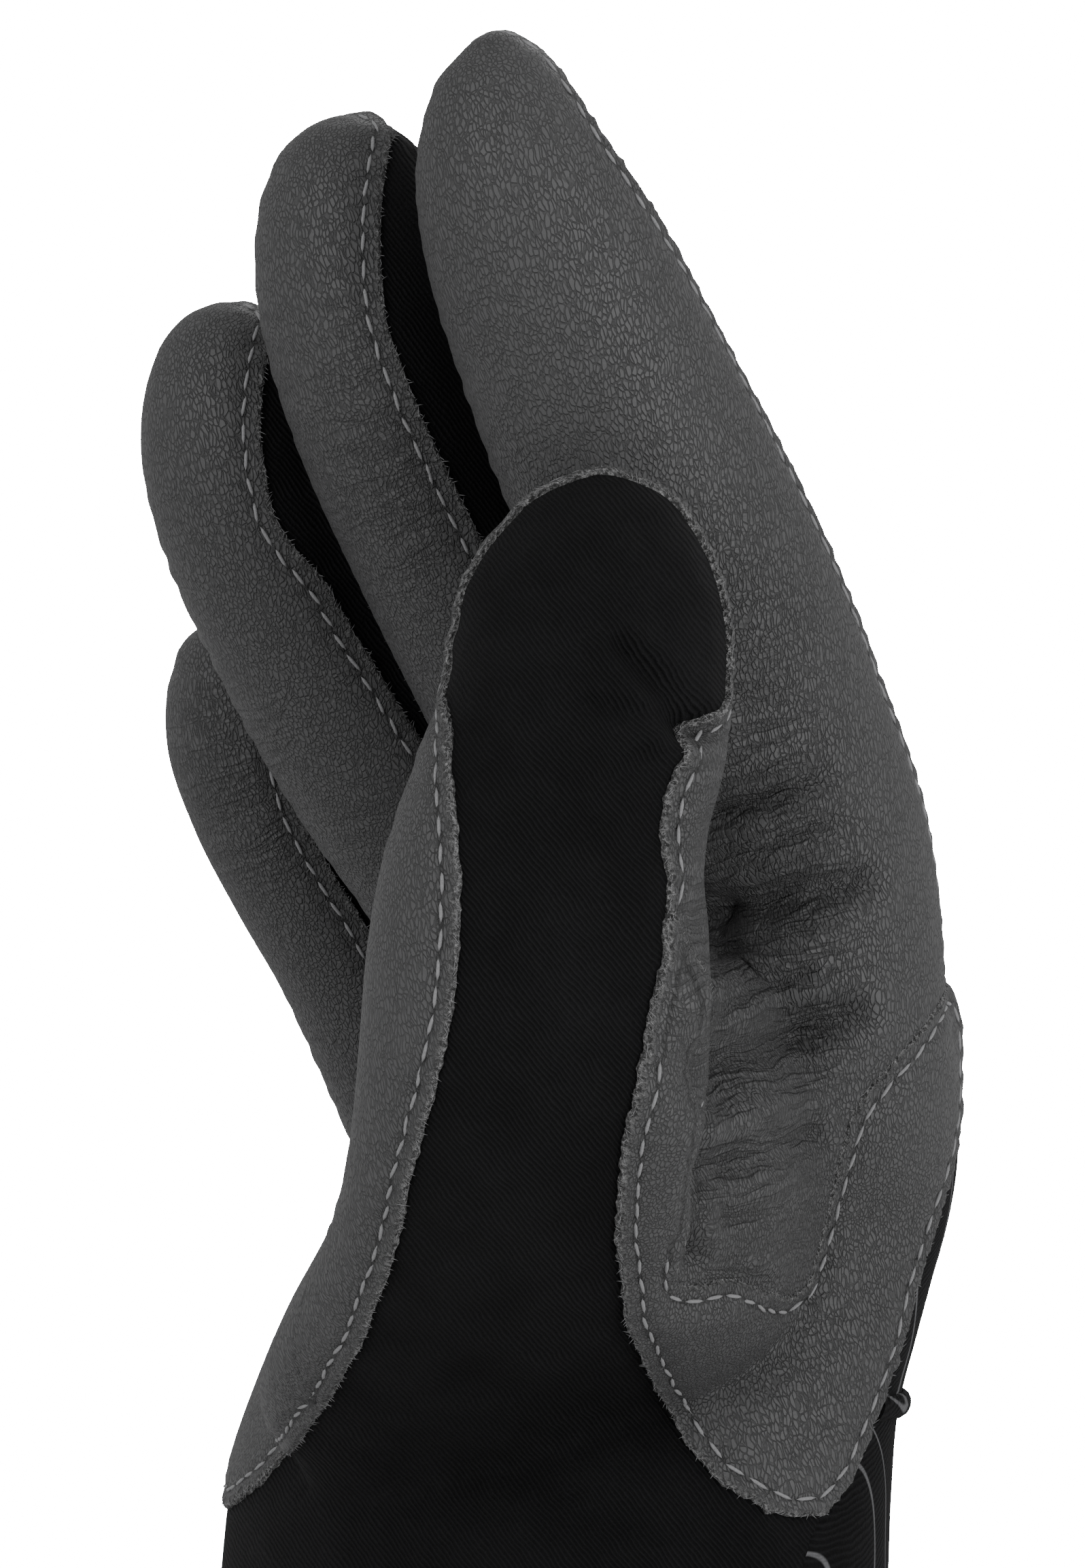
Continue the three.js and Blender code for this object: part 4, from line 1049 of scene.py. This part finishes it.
def sew(name, skin):
    """Traces a piece's stitches and fibres, leaving out stitches that a neighbour covers."""
    kit = sewing()
    shown = skin["under"] < 0.05 * MM
    for run in traced(skin, skin["edge"], kit.stitch_inset):
        line = evened(run, kit.stitch_pitch / 3)
        if line is not None:
            hidden = distance_to(line[0], skin["place"][shown]) > COVERED
            if name == "side_panel":
                hidden |= folded_rim(line[0])
            LINES["stitches"] += split_runs(line, ~hidden)
    for run in traced(skin, skin["edge"], FIBRE_INSET):
        line = evened(run, FIBRE_STEP)
        if line is not None:
            LINES["fibres"].append(line)


def split_runs(line, keep):
    """The kept stretches of a line, without the shortest ones."""
    runs = []
    start = None
    for i, kept in enumerate([*keep, False]):
        if kept and start is None:
            start = i
        if not kept and start is not None:
            if i - start > SHORTEST_RUN:
                runs.append((line[0][start:i], line[1][start:i]))
            start = None
    return runs


def line_object(name, lines):
    edges, first = [], 0
    for places, _ in lines:
        edges += [(first + i, first + i + 1) for i in range(len(places) - 1)]
        first += len(places)
    places, normals = (np.concatenate([line[kind] for line in lines]) for kind in (0, 1))
    mesh = add_mesh(name, places.tolist(), edges, [])
    add_attribute(mesh, "facing", normals)
    return add_object(name, mesh)


class Tree:
    """A node tree that is filled line by line; each value is a number or another node's socket."""

    def __init__(self, tree):
        self.tree = tree

    def add(self, kind, inputs=(), **settings):
        """A node with its settings and its inputs, which go by name or by place."""
        node = self.tree.nodes.new(kind)
        for name, value in settings.items():
            setattr(node, name, value)
        self.fill(node.inputs, inputs)
        return node

    def fill(self, sockets, values):
        for name, value in dict(values).items():
            if isinstance(value, bpy.types.NodeSocket):
                self.tree.links.new(value, sockets[name])
            else:
                sockets[name].default_value = value

    def number(self, operation, *values):
        return self.add("ShaderNodeMath", enumerate(values), operation=operation).outputs[0]

    def plus(self, *values):
        return functools.reduce(lambda a, b: self.number("ADD", a, b), values)

    def times(self, *values):
        return functools.reduce(lambda a, b: self.number("MULTIPLY", a, b), values)

    def less(self, a, b):
        return self.number("SUBTRACT", a, b)

    def ranged(self, value, low, high, to_low=0.0, to_high=1.0):
        """A value led smoothly from one range to another."""
        return self.add("ShaderNodeMapRange", {
            "Value": value, "From Min": low, "From Max": high, "To Min": to_low, "To Max": to_high,
        }, interpolation_type="SMOOTHSTEP").outputs[0]

    def noise(self, position, scale, detail=3.0, roughness=0.55, distortion=0.0):
        return self.add("ShaderNodeTexNoise", {
            "Vector": position, "Scale": scale, "Detail": detail, "Roughness": roughness,
            "Distortion": distortion}).outputs["Fac"]

    def vector(self, **parts):
        return self.add("ShaderNodeCombineXYZ", parts).outputs[0]

    def position(self):
        return self.add("ShaderNodeTexCoord").outputs["Object"]

    def attribute(self, name, output="Fac"):
        return self.add("ShaderNodeAttribute", attribute_name=name).outputs[output]

    def blend(self, share, first, second):
        """A colour between two others."""
        return self.add("ShaderNodeMix", {0: share, 6: first, 7: second}, data_type="RGBA").outputs[2]

    def bump(self, height, distance, strength=1.0):
        return self.add("ShaderNodeBump", {
            "Height": height, "Distance": distance, "Strength": strength}).outputs["Normal"]


def thread_tree(material):
    """Short rounded threads along lines: their measures, spread and sway are inputs."""
    tree = bpy.data.node_groups.new("Threads along lines", "GeometryNodeTree")
    floats = [(name, "Float") for name in ("Length", "Thickness", "Pitch", "Sway", "Lift", "Spread")]
    for name, kind in (("Geometry", "Geometry"), *floats, ("Seed", "Int")):
        tree.interface.new_socket(name, in_out="INPUT", socket_type="NodeSocket" + kind)
    tree.interface.new_socket("Geometry", in_out="OUTPUT", socket_type="NodeSocketGeometry")
    t = Tree(tree)
    given = t.add("NodeGroupInput").outputs
    curve = t.add("GeometryNodeMeshToCurve", {"Mesh": given["Geometry"]})
    even = t.add("GeometryNodeResampleCurve",
                 {"Curve": curve.outputs["Curve"], "Length": given["Pitch"]}, mode="LENGTH")
    facing = t.add("GeometryNodeInputNamedAttribute", {"Name": "facing"}, data_type="FLOAT_VECTOR")
    axes = t.add("FunctionNodeAxesToRotation", {
        "Primary Axis": t.add("GeometryNodeInputTangent").outputs["Tangent"],
        "Secondary Axis": facing.outputs["Attribute"]}, primary_axis="X", secondary_axis="Z")
    sway = t.add("FunctionNodeRandomValue", {
        "Min": t.vector(Y=t.times(given["Lift"], -1), Z=t.times(given["Sway"], -1)),
        "Max": t.vector(Z=given["Sway"]), "Seed": given["Seed"]}, data_type="FLOAT_VECTOR")
    bent = t.add("FunctionNodeEulerToRotation", {"Euler": sway.outputs["Value"]})
    turn = t.add("FunctionNodeRotateRotation", {
        "Rotation": axes.outputs["Rotation"], "Rotate By": bent.outputs["Rotation"]}, rotation_space="LOCAL")
    size = t.add("FunctionNodeRandomValue", {
        2: t.less(1, given["Spread"]), 3: t.plus(1, given["Spread"]), "Seed": given["Seed"]}, data_type="FLOAT")
    scale = t.vector(X=t.times(given["Length"], size.outputs[1]), Y=given["Thickness"], Z=given["Thickness"])
    thread = t.add("GeometryNodeMeshUVSphere", {"Segments": 6, "Rings": 5, "Radius": 0.5})
    place = t.add("GeometryNodeInstanceOnPoints", {
        "Points": even.outputs["Curve"], "Instance": thread.outputs["Mesh"],
        "Rotation": turn.outputs["Rotation"], "Scale": scale})
    real = t.add("GeometryNodeRealizeInstances", {"Geometry": place.outputs["Instances"]})
    smooth = t.add("GeometryNodeSetShadeSmooth", {"Geometry": real.outputs["Geometry"]})
    finish = t.add("GeometryNodeSetMaterial", {"Geometry": smooth.outputs["Geometry"], "Material": material})
    t.add("NodeGroupOutput", {"Geometry": finish.outputs["Geometry"]})
    return tree


def threads(name, lines, material, **values):
    """Fills lines with threads and keeps the result as a plain mesh."""
    source = line_object(name + "_lines", lines)
    modifier = source.modifiers.new("Threads", "NODES")
    modifier.node_group = thread_tree(material)
    for item in modifier.node_group.interface.items_tree:
        if item.in_out == "INPUT" and item.name in values:
            modifier[item.identifier] = values[item.name]
    mesh = evaluated_mesh(source)
    mesh.name = name
    if not len(mesh.polygons):
        raise RuntimeError(f"{name} has no threads")
    settle(add_object(name, mesh))


# Surfaces


def shader_group(name, fill, *inputs):
    """A shader node group; its fill function runs the first time only and names its outputs."""
    if name not in bpy.data.node_groups:
        tree = bpy.data.node_groups.new(name, "ShaderNodeTree")
        for socket in inputs:
            tree.interface.new_socket(socket, in_out="INPUT", socket_type="NodeSocketFloat")
        t = Tree(tree)
        results = fill(t, t.add("NodeGroupInput").outputs, t.position())
        for socket in results:
            tree.interface.new_socket(socket, in_out="OUTPUT", socket_type="NodeSocketFloat")
        t.add("NodeGroupOutput", results)
    return bpy.data.node_groups[name]


def fill_grain(t, given, position):
    """Leather: soft pebbles drawn out across the hand, and fine creases where the piece is wrinkled; the tint
    darkens the creases with painted shade.
    """
    course = t.attribute("grain", "Vector")
    waver = t.add("ShaderNodeTexNoise", {"Vector": position, "Scale": 420.0, "Detail": 2.0}).outputs["Color"]
    bent = t.add("ShaderNodeVectorMath", {0: waver, 1: (0.0009, 0.0009, 0.0009), 2: course},
                 operation="MULTIPLY_ADD").outputs[0]
    cells = t.add("ShaderNodeTexVoronoi", {"Vector": bent, "Scale": given["Pebble"]}, feature="DISTANCE_TO_EDGE")
    fade = t.ranged(t.noise(position, 38.0, 2.0), 0.30, 0.50, 0.80, 1.0)
    gap = t.less(1.0, t.ranged(cells.outputs["Distance"], 0.0, 0.17))
    pebble = t.less(1.0, t.times(gap, fade))
    fine = t.noise(position, FUZZ, 2.0)
    wander = t.times(t.noise(position, 160.0, 2.0), 0.0018)
    parts = t.add("ShaderNodeSeparateXYZ", {0: course}).outputs
    line = t.vector(X=t.times(parts["Y"], 0.14), Y=t.plus(t.times(parts["X"], 2.0), wander))
    crease = t.noise(line, given["Crease"], 3.0, 0.6)
    deep = t.ranged(t.number("ABSOLUTE", t.less(crease, 0.5)), 0.0, 0.10)
    wrinkle = t.attribute("wrinkle")
    # Painted shade: the tint is darkened along the fine creases, as far as the piece is wrinkled.
    painted_crease_shade = t.times(t.less(1.0, deep), wrinkle, -0.60)
    blotch = t.noise(position, 95.0, 4.0)
    return {"Height": t.plus(t.times(pebble, 0.75), t.times(fine, 0.12), t.times(deep, wrinkle, 1.5)),
            "Tint": t.plus(t.times(pebble, 0.62), t.times(blotch, 0.2), t.times(fine, 0.18), painted_crease_shade)}


def fill_fray(t, given, position):
    """Masks of a raw cut edge, ragged by noise, and of the line of its stitches, which darkens the leather as
    stitch holes and painted shadow.
    """
    edge = t.attribute("edge")
    distance = t.plus(edge, t.times(t.less(t.noise(position, 2600.0), 0.5), 0.0014))
    beside = t.number("ABSOLUTE", t.less(edge, given["Inset"]))
    return {"Mask": t.less(1.0, t.ranged(distance, 0.0, given["Width"])),
            "Seam": t.less(1.0, t.ranged(beside, 0.0001, 0.00045))}


def fill_twill(t, given, position):
    """Fine diagonal twill of a stretch fabric, laid along the piece's own diagonal."""
    waver = t.times(t.noise(position, 240.0, 2.0), 0.0012)
    course = t.plus(t.attribute("diagonal"), waver)
    rib = t.number("SINE", t.times(course, t.times(given["Pitch"], 2 * math.pi)))
    height = t.plus(t.times(rib, 0.8), t.times(t.noise(position, 3300.0), 1.8))
    blotch = t.noise(position, 120.0)
    return {"Height": height, "Tint": t.plus(t.times(height, 0.35), t.plus(blotch, 0.3))}


def fill_contours(t, given, position):
    """Thin wavy lines like the heights of a hill on a map."""
    flat = t.add("ShaderNodeMapping", {"Vector": position, "Scale": (1, 1, 0.6)}).outputs["Vector"]
    hill = t.noise(flat, given["Spread"], 1.0, 0.4, 0.6)
    part = t.number("FRACT", t.times(hill, given["Levels"]))
    beside = t.number("ABSOLUTE", t.less(part, 0.5))
    return {"Mask": t.less(1.0, t.ranged(beside, 0.015, 0.05))}


def material(name, fill, roughness, sheen=0.0, specular=0.5):
    """A material; its fill function runs the first time only and says what feeds the shader."""
    if name not in bpy.data.materials:
        made = bpy.data.materials.new(name)
        made.use_nodes = True
        t = Tree(made.node_tree)
        shader = next(node for node in made.node_tree.nodes if node.type == "BSDF_PRINCIPLED")
        t.fill(shader.inputs, {"Roughness": roughness, "Sheen Weight": sheen, "Sheen Roughness": 0.4,
                               "Specular IOR Level": specular})
        t.fill(shader.inputs, fill(t))
    return bpy.data.materials[name]


def placed(t, name, fill, **values):
    """A shader group put to use with its values; gives its outputs."""
    return t.add("ShaderNodeGroup", values, node_tree=shader_group(name, fill, *values)).outputs


def shade(levels, factor=1.0):
    return tuple(level * factor for level in levels) + (1.0,)


def fill_leather(t):
    skin, cut = looks().leather, looks().raw_edge
    grain = placed(t, "Leather grain", fill_grain, Pebble=2600.0, Crease=640.0)
    fray = placed(t, "Raw edge", fill_fray, Width=0.0009, Inset=0.0018)
    # The grain's tint carries the pebbles' own tone and the painted shade in the fine creases.
    plain = t.blend(t.ranged(grain["Tint"], 0.10, 0.80), shade(skin, 0.80), shade(skin, 1.18))
    fuzz = t.ranged(t.noise(t.position(), 2400.0, 2.0), 0.3, 0.7)
    worn = t.blend(fray["Mask"], plain, t.blend(fuzz, shade(cut, 0.15), shade(cut, 1.5)))
    rough = t.times(fray["Mask"], fuzz, 3.0)
    return {
        # Along the stitch line the leather is darkened: partly the stitch holes, partly painted shadow in the
        # groove beside them.
        "Base Color": t.blend(t.times(fray["Seam"], 0.6), worn, shade(skin, 0.2)),
        "Roughness": t.plus(t.times(fray["Mask"], 0.4), t.ranged(grain["Tint"], 0.1, 0.8, 0.68, 0.58)),
        "Normal": t.bump(t.plus(grain["Height"], rough), 0.00022),
    }


def leather_material():
    return material("Grey leather", fill_leather, 0.5)


def fabric_material(name, lined):
    def fill(t):
        twill = placed(t, "Twill", fill_twill, Pitch=1700.0)
        tint = t.ranged(twill["Tint"], 0.5, 1.9)
        cloth = t.blend(tint, shade(looks().fabric, 0.35), shade(looks().fabric, 2.3))
        if lined:
            lines = placed(t, "Wavy lines", fill_contours, Spread=30.0, Levels=11.0)
            cloth = t.blend(lines["Mask"], cloth, shade(looks().lines))
        return {"Base Color": cloth, "Normal": t.bump(twill["Height"], 0.00014, 0.9)}

    return material(name, fill, 0.88, 0.0, 0.16)


def thread_material(name, factor):
    def fill(t):
        fuzz = t.noise(t.position(), FUZZ, 2.0)
        return {"Base Color": t.blend(fuzz, shade(looks().thread, 0.55 * factor),
                                      shade(looks().thread, 1.35 * factor))}

    return material(name, fill, 0.7, 0.1, 0.3)


def plain_fabric():
    return fabric_material("Black stretch fabric", False)


def lined_fabric():
    return fabric_material("Black fabric with wavy lines", True)


# Operators: one for each piece or group of like pieces, and one for the stage


class GLOVE_OT_palm_leather(bpy.types.Operator):
    """Palm face of the hand and fingers"""
    bl_idname = "glove.palm_leather"
    bl_label = "Palm leather"

    def execute(self, context):
        kit = sewing()
        leather_piece("palm_leather", (on_front, off_strip, off_panel, off_side, off_thumb, over_hem),
                      (0, 0, 0, kit.lap, kit.lap, 0), kit.leather_rise)
        return {"FINISHED"}


class GLOVE_OT_thumb_leather(bpy.types.Operator):
    """Palm side of the thumb with its strip to the wrist"""
    bl_idname = "glove.thumb_leather"
    bl_label = "Thumb leather"

    def execute(self, context):
        kit = sewing()
        leather_piece("thumb_leather", (on_front, off_strip, off_panel, off_side, on_thumb, over_hem),
                      (0, 0, 0, kit.lap, 0, 0), kit.leather_rise)
        return {"FINISHED"}


class GLOVE_OT_side_panel(bpy.types.Operator):
    """Leather panel on the thumb's side of the hand, over its neighbours"""
    bl_idname = "glove.side_panel"
    bl_label = "Side panel"

    def execute(self, context):
        leather_piece("side_panel", (on_front, off_strip, off_panel, on_side, over_hem),
                      (0, 0, 0, 0, 0), sewing().panel_rise)
        return {"FINISHED"}


class GLOVE_OT_thumb_back(bpy.types.Operator):
    """Black fabric from the thumb's tip to the cuff"""
    bl_idname = "glove.thumb_back"
    bl_label = "Thumb back"

    def execute(self, context):
        fabric_piece("thumb_back", (on_front, off_strip, on_panel, over_hem),
                     (0, 0, sewing().lap, 0), plain_fabric())
        return {"FINISHED"}


class GLOVE_OT_back_fabric(bpy.types.Operator):
    """Fabric over the back of the hand and fingers"""
    bl_idname = "glove.back_fabric"
    bl_label = "Back fabric"

    def execute(self, context):
        fabric_piece("back_fabric", (on_back, over_hem), (sewing().lap, 0), lined_fabric(), 0)
        return {"FINISHED"}


class GLOVE_OT_fourchettes(bpy.types.Operator):
    """Three strips between neighbouring fingers"""
    bl_idname = "glove.fourchettes"
    bl_label = "Fourchettes"

    def execute(self, context):
        ring_x, middle_x = (finger["side"] * shape().palm_width for finger in finger_list()[1:3])
        for name, low, high in (
            ("fourchette_index_middle", middle_x, math.inf),
            ("fourchette_middle_ring", ring_x, middle_x),
            ("fourchette_ring_pinky", -math.inf, ring_x),
        ):
            def span(skin):
                return np.minimum(skin["rest"][:, 0] - low, high - skin["rest"][:, 0])

            fabric_piece(name, (on_front, on_strip, over_hem, span), (0, sewing().lap, 0, 0),
                         plain_fabric())
        return {"FINISHED"}


class GLOVE_OT_wrist_tuck(bpy.types.Operator):
    """Raised band across the back of the wrist"""
    bl_idname = "glove.wrist_tuck"
    bl_label = "Wrist tuck"

    def execute(self, context):
        half = shape().tuck_height / 2
        middle = TUCK_UP * shape().palm_height + half

        def in_band(skin):
            return half - np.abs(skin["height"] - middle)

        def rise(from_middle):
            return shape().tuck_rise * (0.25 + 0.75 * np.sqrt(1 - from_middle ** 2))

        band("wrist_tuck", (on_back, in_band), (0, 0), middle, half, rise, 0.1 * MM,
             lined_fabric())
        return {"FINISHED"}


class GLOVE_OT_cuff_hem(bpy.types.Operator):
    """Plain binding at the opening"""
    bl_idname = "glove.cuff_hem"
    bl_label = "Cuff hem"

    def execute(self, context):
        half = shape().hem_height / 2

        def under_hem(skin):
            return shape().hem_height - skin["height"]

        def rise(from_middle):
            return HEM_RISE * (1 - 0.8 * from_middle ** 6)

        band("cuff_hem", (under_hem,), (0,), half, half, rise, -sewing().fabric_wall, plain_fabric())
        return {"FINISHED"}


class GLOVE_OT_stitches(bpy.types.Operator):
    """Stitches inside the raw edges, and loose fibres on them"""
    bl_idname = "glove.stitches"
    bl_label = "Stitches and fibres"

    def execute(self, context):
        kit = sewing()
        threads("seam_stitches", LINES["stitches"], thread_material("Grey thread", 1.0),
                Length=kit.stitch_length, Thickness=kit.thread, Pitch=kit.stitch_pitch, Sway=0.16, Lift=0.03,
                Spread=0.08, Seed=7)
        threads("edge_fibres", LINES["fibres"], thread_material("Leather fibre", 0.9),
                Length=kit.fibre_length, Thickness=kit.fibre, Pitch=kit.fibre_pitch, Sway=1.5, Lift=0.7,
                Spread=0.6, Seed=11)
        return {"FINISHED"}


class GLOVE_OT_stage(bpy.types.Operator):
    """Floor, soft lights and camera"""
    bl_idname = "glove.stage"
    bl_label = "Stage"

    def execute(self, context):
        self.floor()
        self.lights()
        self.camera()
        return {"FINISHED"}

    def floor(self):
        turns = np.linspace(0, 2 * math.pi, FLOOR_CORNERS, endpoint=False)
        points = [(FLOOR_RADIUS * math.cos(turn), FLOOR_RADIUS * math.sin(turn), 0) for turn in turns]
        mesh = add_mesh("floor", points, [], [tuple(range(FLOOR_CORNERS))])
        mesh.materials.append(material("Pale floor", lambda t: {"Base Color": shade(looks().floor)}, 0.9))
        floor = add_object("floor", mesh)

    def lights(self):
        world = bpy.data.worlds.new("soft_room")
        bpy.context.scene.world = world
        world.use_nodes = True
        world.node_tree.nodes.clear()
        t = Tree(world.node_tree)
        soft, seen = (t.add("ShaderNodeBackground", {"Color": (1, 1, 1, 1), "Strength": strength})
                      for strength in (ROOM_LIGHT, ROOM_SEEN))
        from_camera = t.add("ShaderNodeLightPath").outputs["Is Camera Ray"]
        choice = t.add("ShaderNodeMixShader", {0: from_camera, 1: soft.outputs[0], 2: seen.outputs[0]})
        t.add("ShaderNodeOutputWorld", {"Surface": choice.outputs[0]})
        middle = Vector((0, 0, 0.11))
        across, towards = (Vector(direction) for direction in turned(THUMB_FACE))
        for name, right, out, up, power, size in LIGHTS:
            place = middle + across * right + towards * out + Vector((0, 0, up))
            data = bpy.data.lights.new(name, "AREA")
            data.energy = power * looks().light
            data.size = size
            light = add_object(name, data)
            light.location = place
            light.rotation_euler = (middle - place).to_track_quat("-Z", "Y").to_euler()

    def camera(self):
        across, towards = (Vector(direction) for direction in turned(THUMB_FACE))
        data = bpy.data.cameras.new("camera")
        data.sensor_fit = "AUTO"
        data.sensor_width = SENSOR
        data.lens = SENSOR * VIEW_DISTANCE * PIXELS_PER_METRE / PICTURE_HEIGHT
        data.clip_start = 0.01
        camera = add_object("camera", data)
        target = across * VIEW_RIGHT + Vector((0, 0, VIEW_UP))
        camera.location = target + towards * VIEW_DISTANCE
        camera.rotation_euler = (-towards).to_track_quat("-Z", "Y").to_euler()
        bpy.context.scene.camera = camera


STEPS = (
    GLOVE_OT_palm_leather,
    GLOVE_OT_thumb_leather,
    GLOVE_OT_side_panel,
    GLOVE_OT_thumb_back,
    GLOVE_OT_back_fabric,
    GLOVE_OT_fourchettes,
    GLOVE_OT_wrist_tuck,
    GLOVE_OT_cuff_hem,
    GLOVE_OT_stitches,
    GLOVE_OT_stage,
)


class GLOVE_PT_steps(bpy.types.Panel):
    bl_label = "Glove"
    bl_idname = "GLOVE_PT_steps"
    bl_space_type = "VIEW_3D"
    bl_region_type = "UI"
    bl_category = "Glove"

    def draw(self, context):
        for group in (shape(), sewing(), looks()):
            box = self.layout.box()
            for name in group.__annotations__:
                box.prop(group, name)
        for step in STEPS:
            self.layout.operator(step.bl_idname)


CLASSES = (GloveShape, GloveSewing, GloveLooks, *STEPS, GLOVE_PT_steps)


def register():
    for item in CLASSES:
        bpy.utils.register_class(item)
    bpy.types.Scene.glove_shape = bpy.props.PointerProperty(type=GloveShape)
    bpy.types.Scene.glove_sewing = bpy.props.PointerProperty(type=GloveSewing)
    bpy.types.Scene.glove_looks = bpy.props.PointerProperty(type=GloveLooks)


def unregister():
    del bpy.types.Scene.glove_looks
    del bpy.types.Scene.glove_sewing
    del bpy.types.Scene.glove_shape
    for item in reversed(CLASSES):
        bpy.utils.unregister_class(item)


def main():
    register()
    for step in STEPS:
        group, name = step.bl_idname.split(".")
        getattr(getattr(bpy.ops, group), name)()


if __name__ == "__main__":
    main()
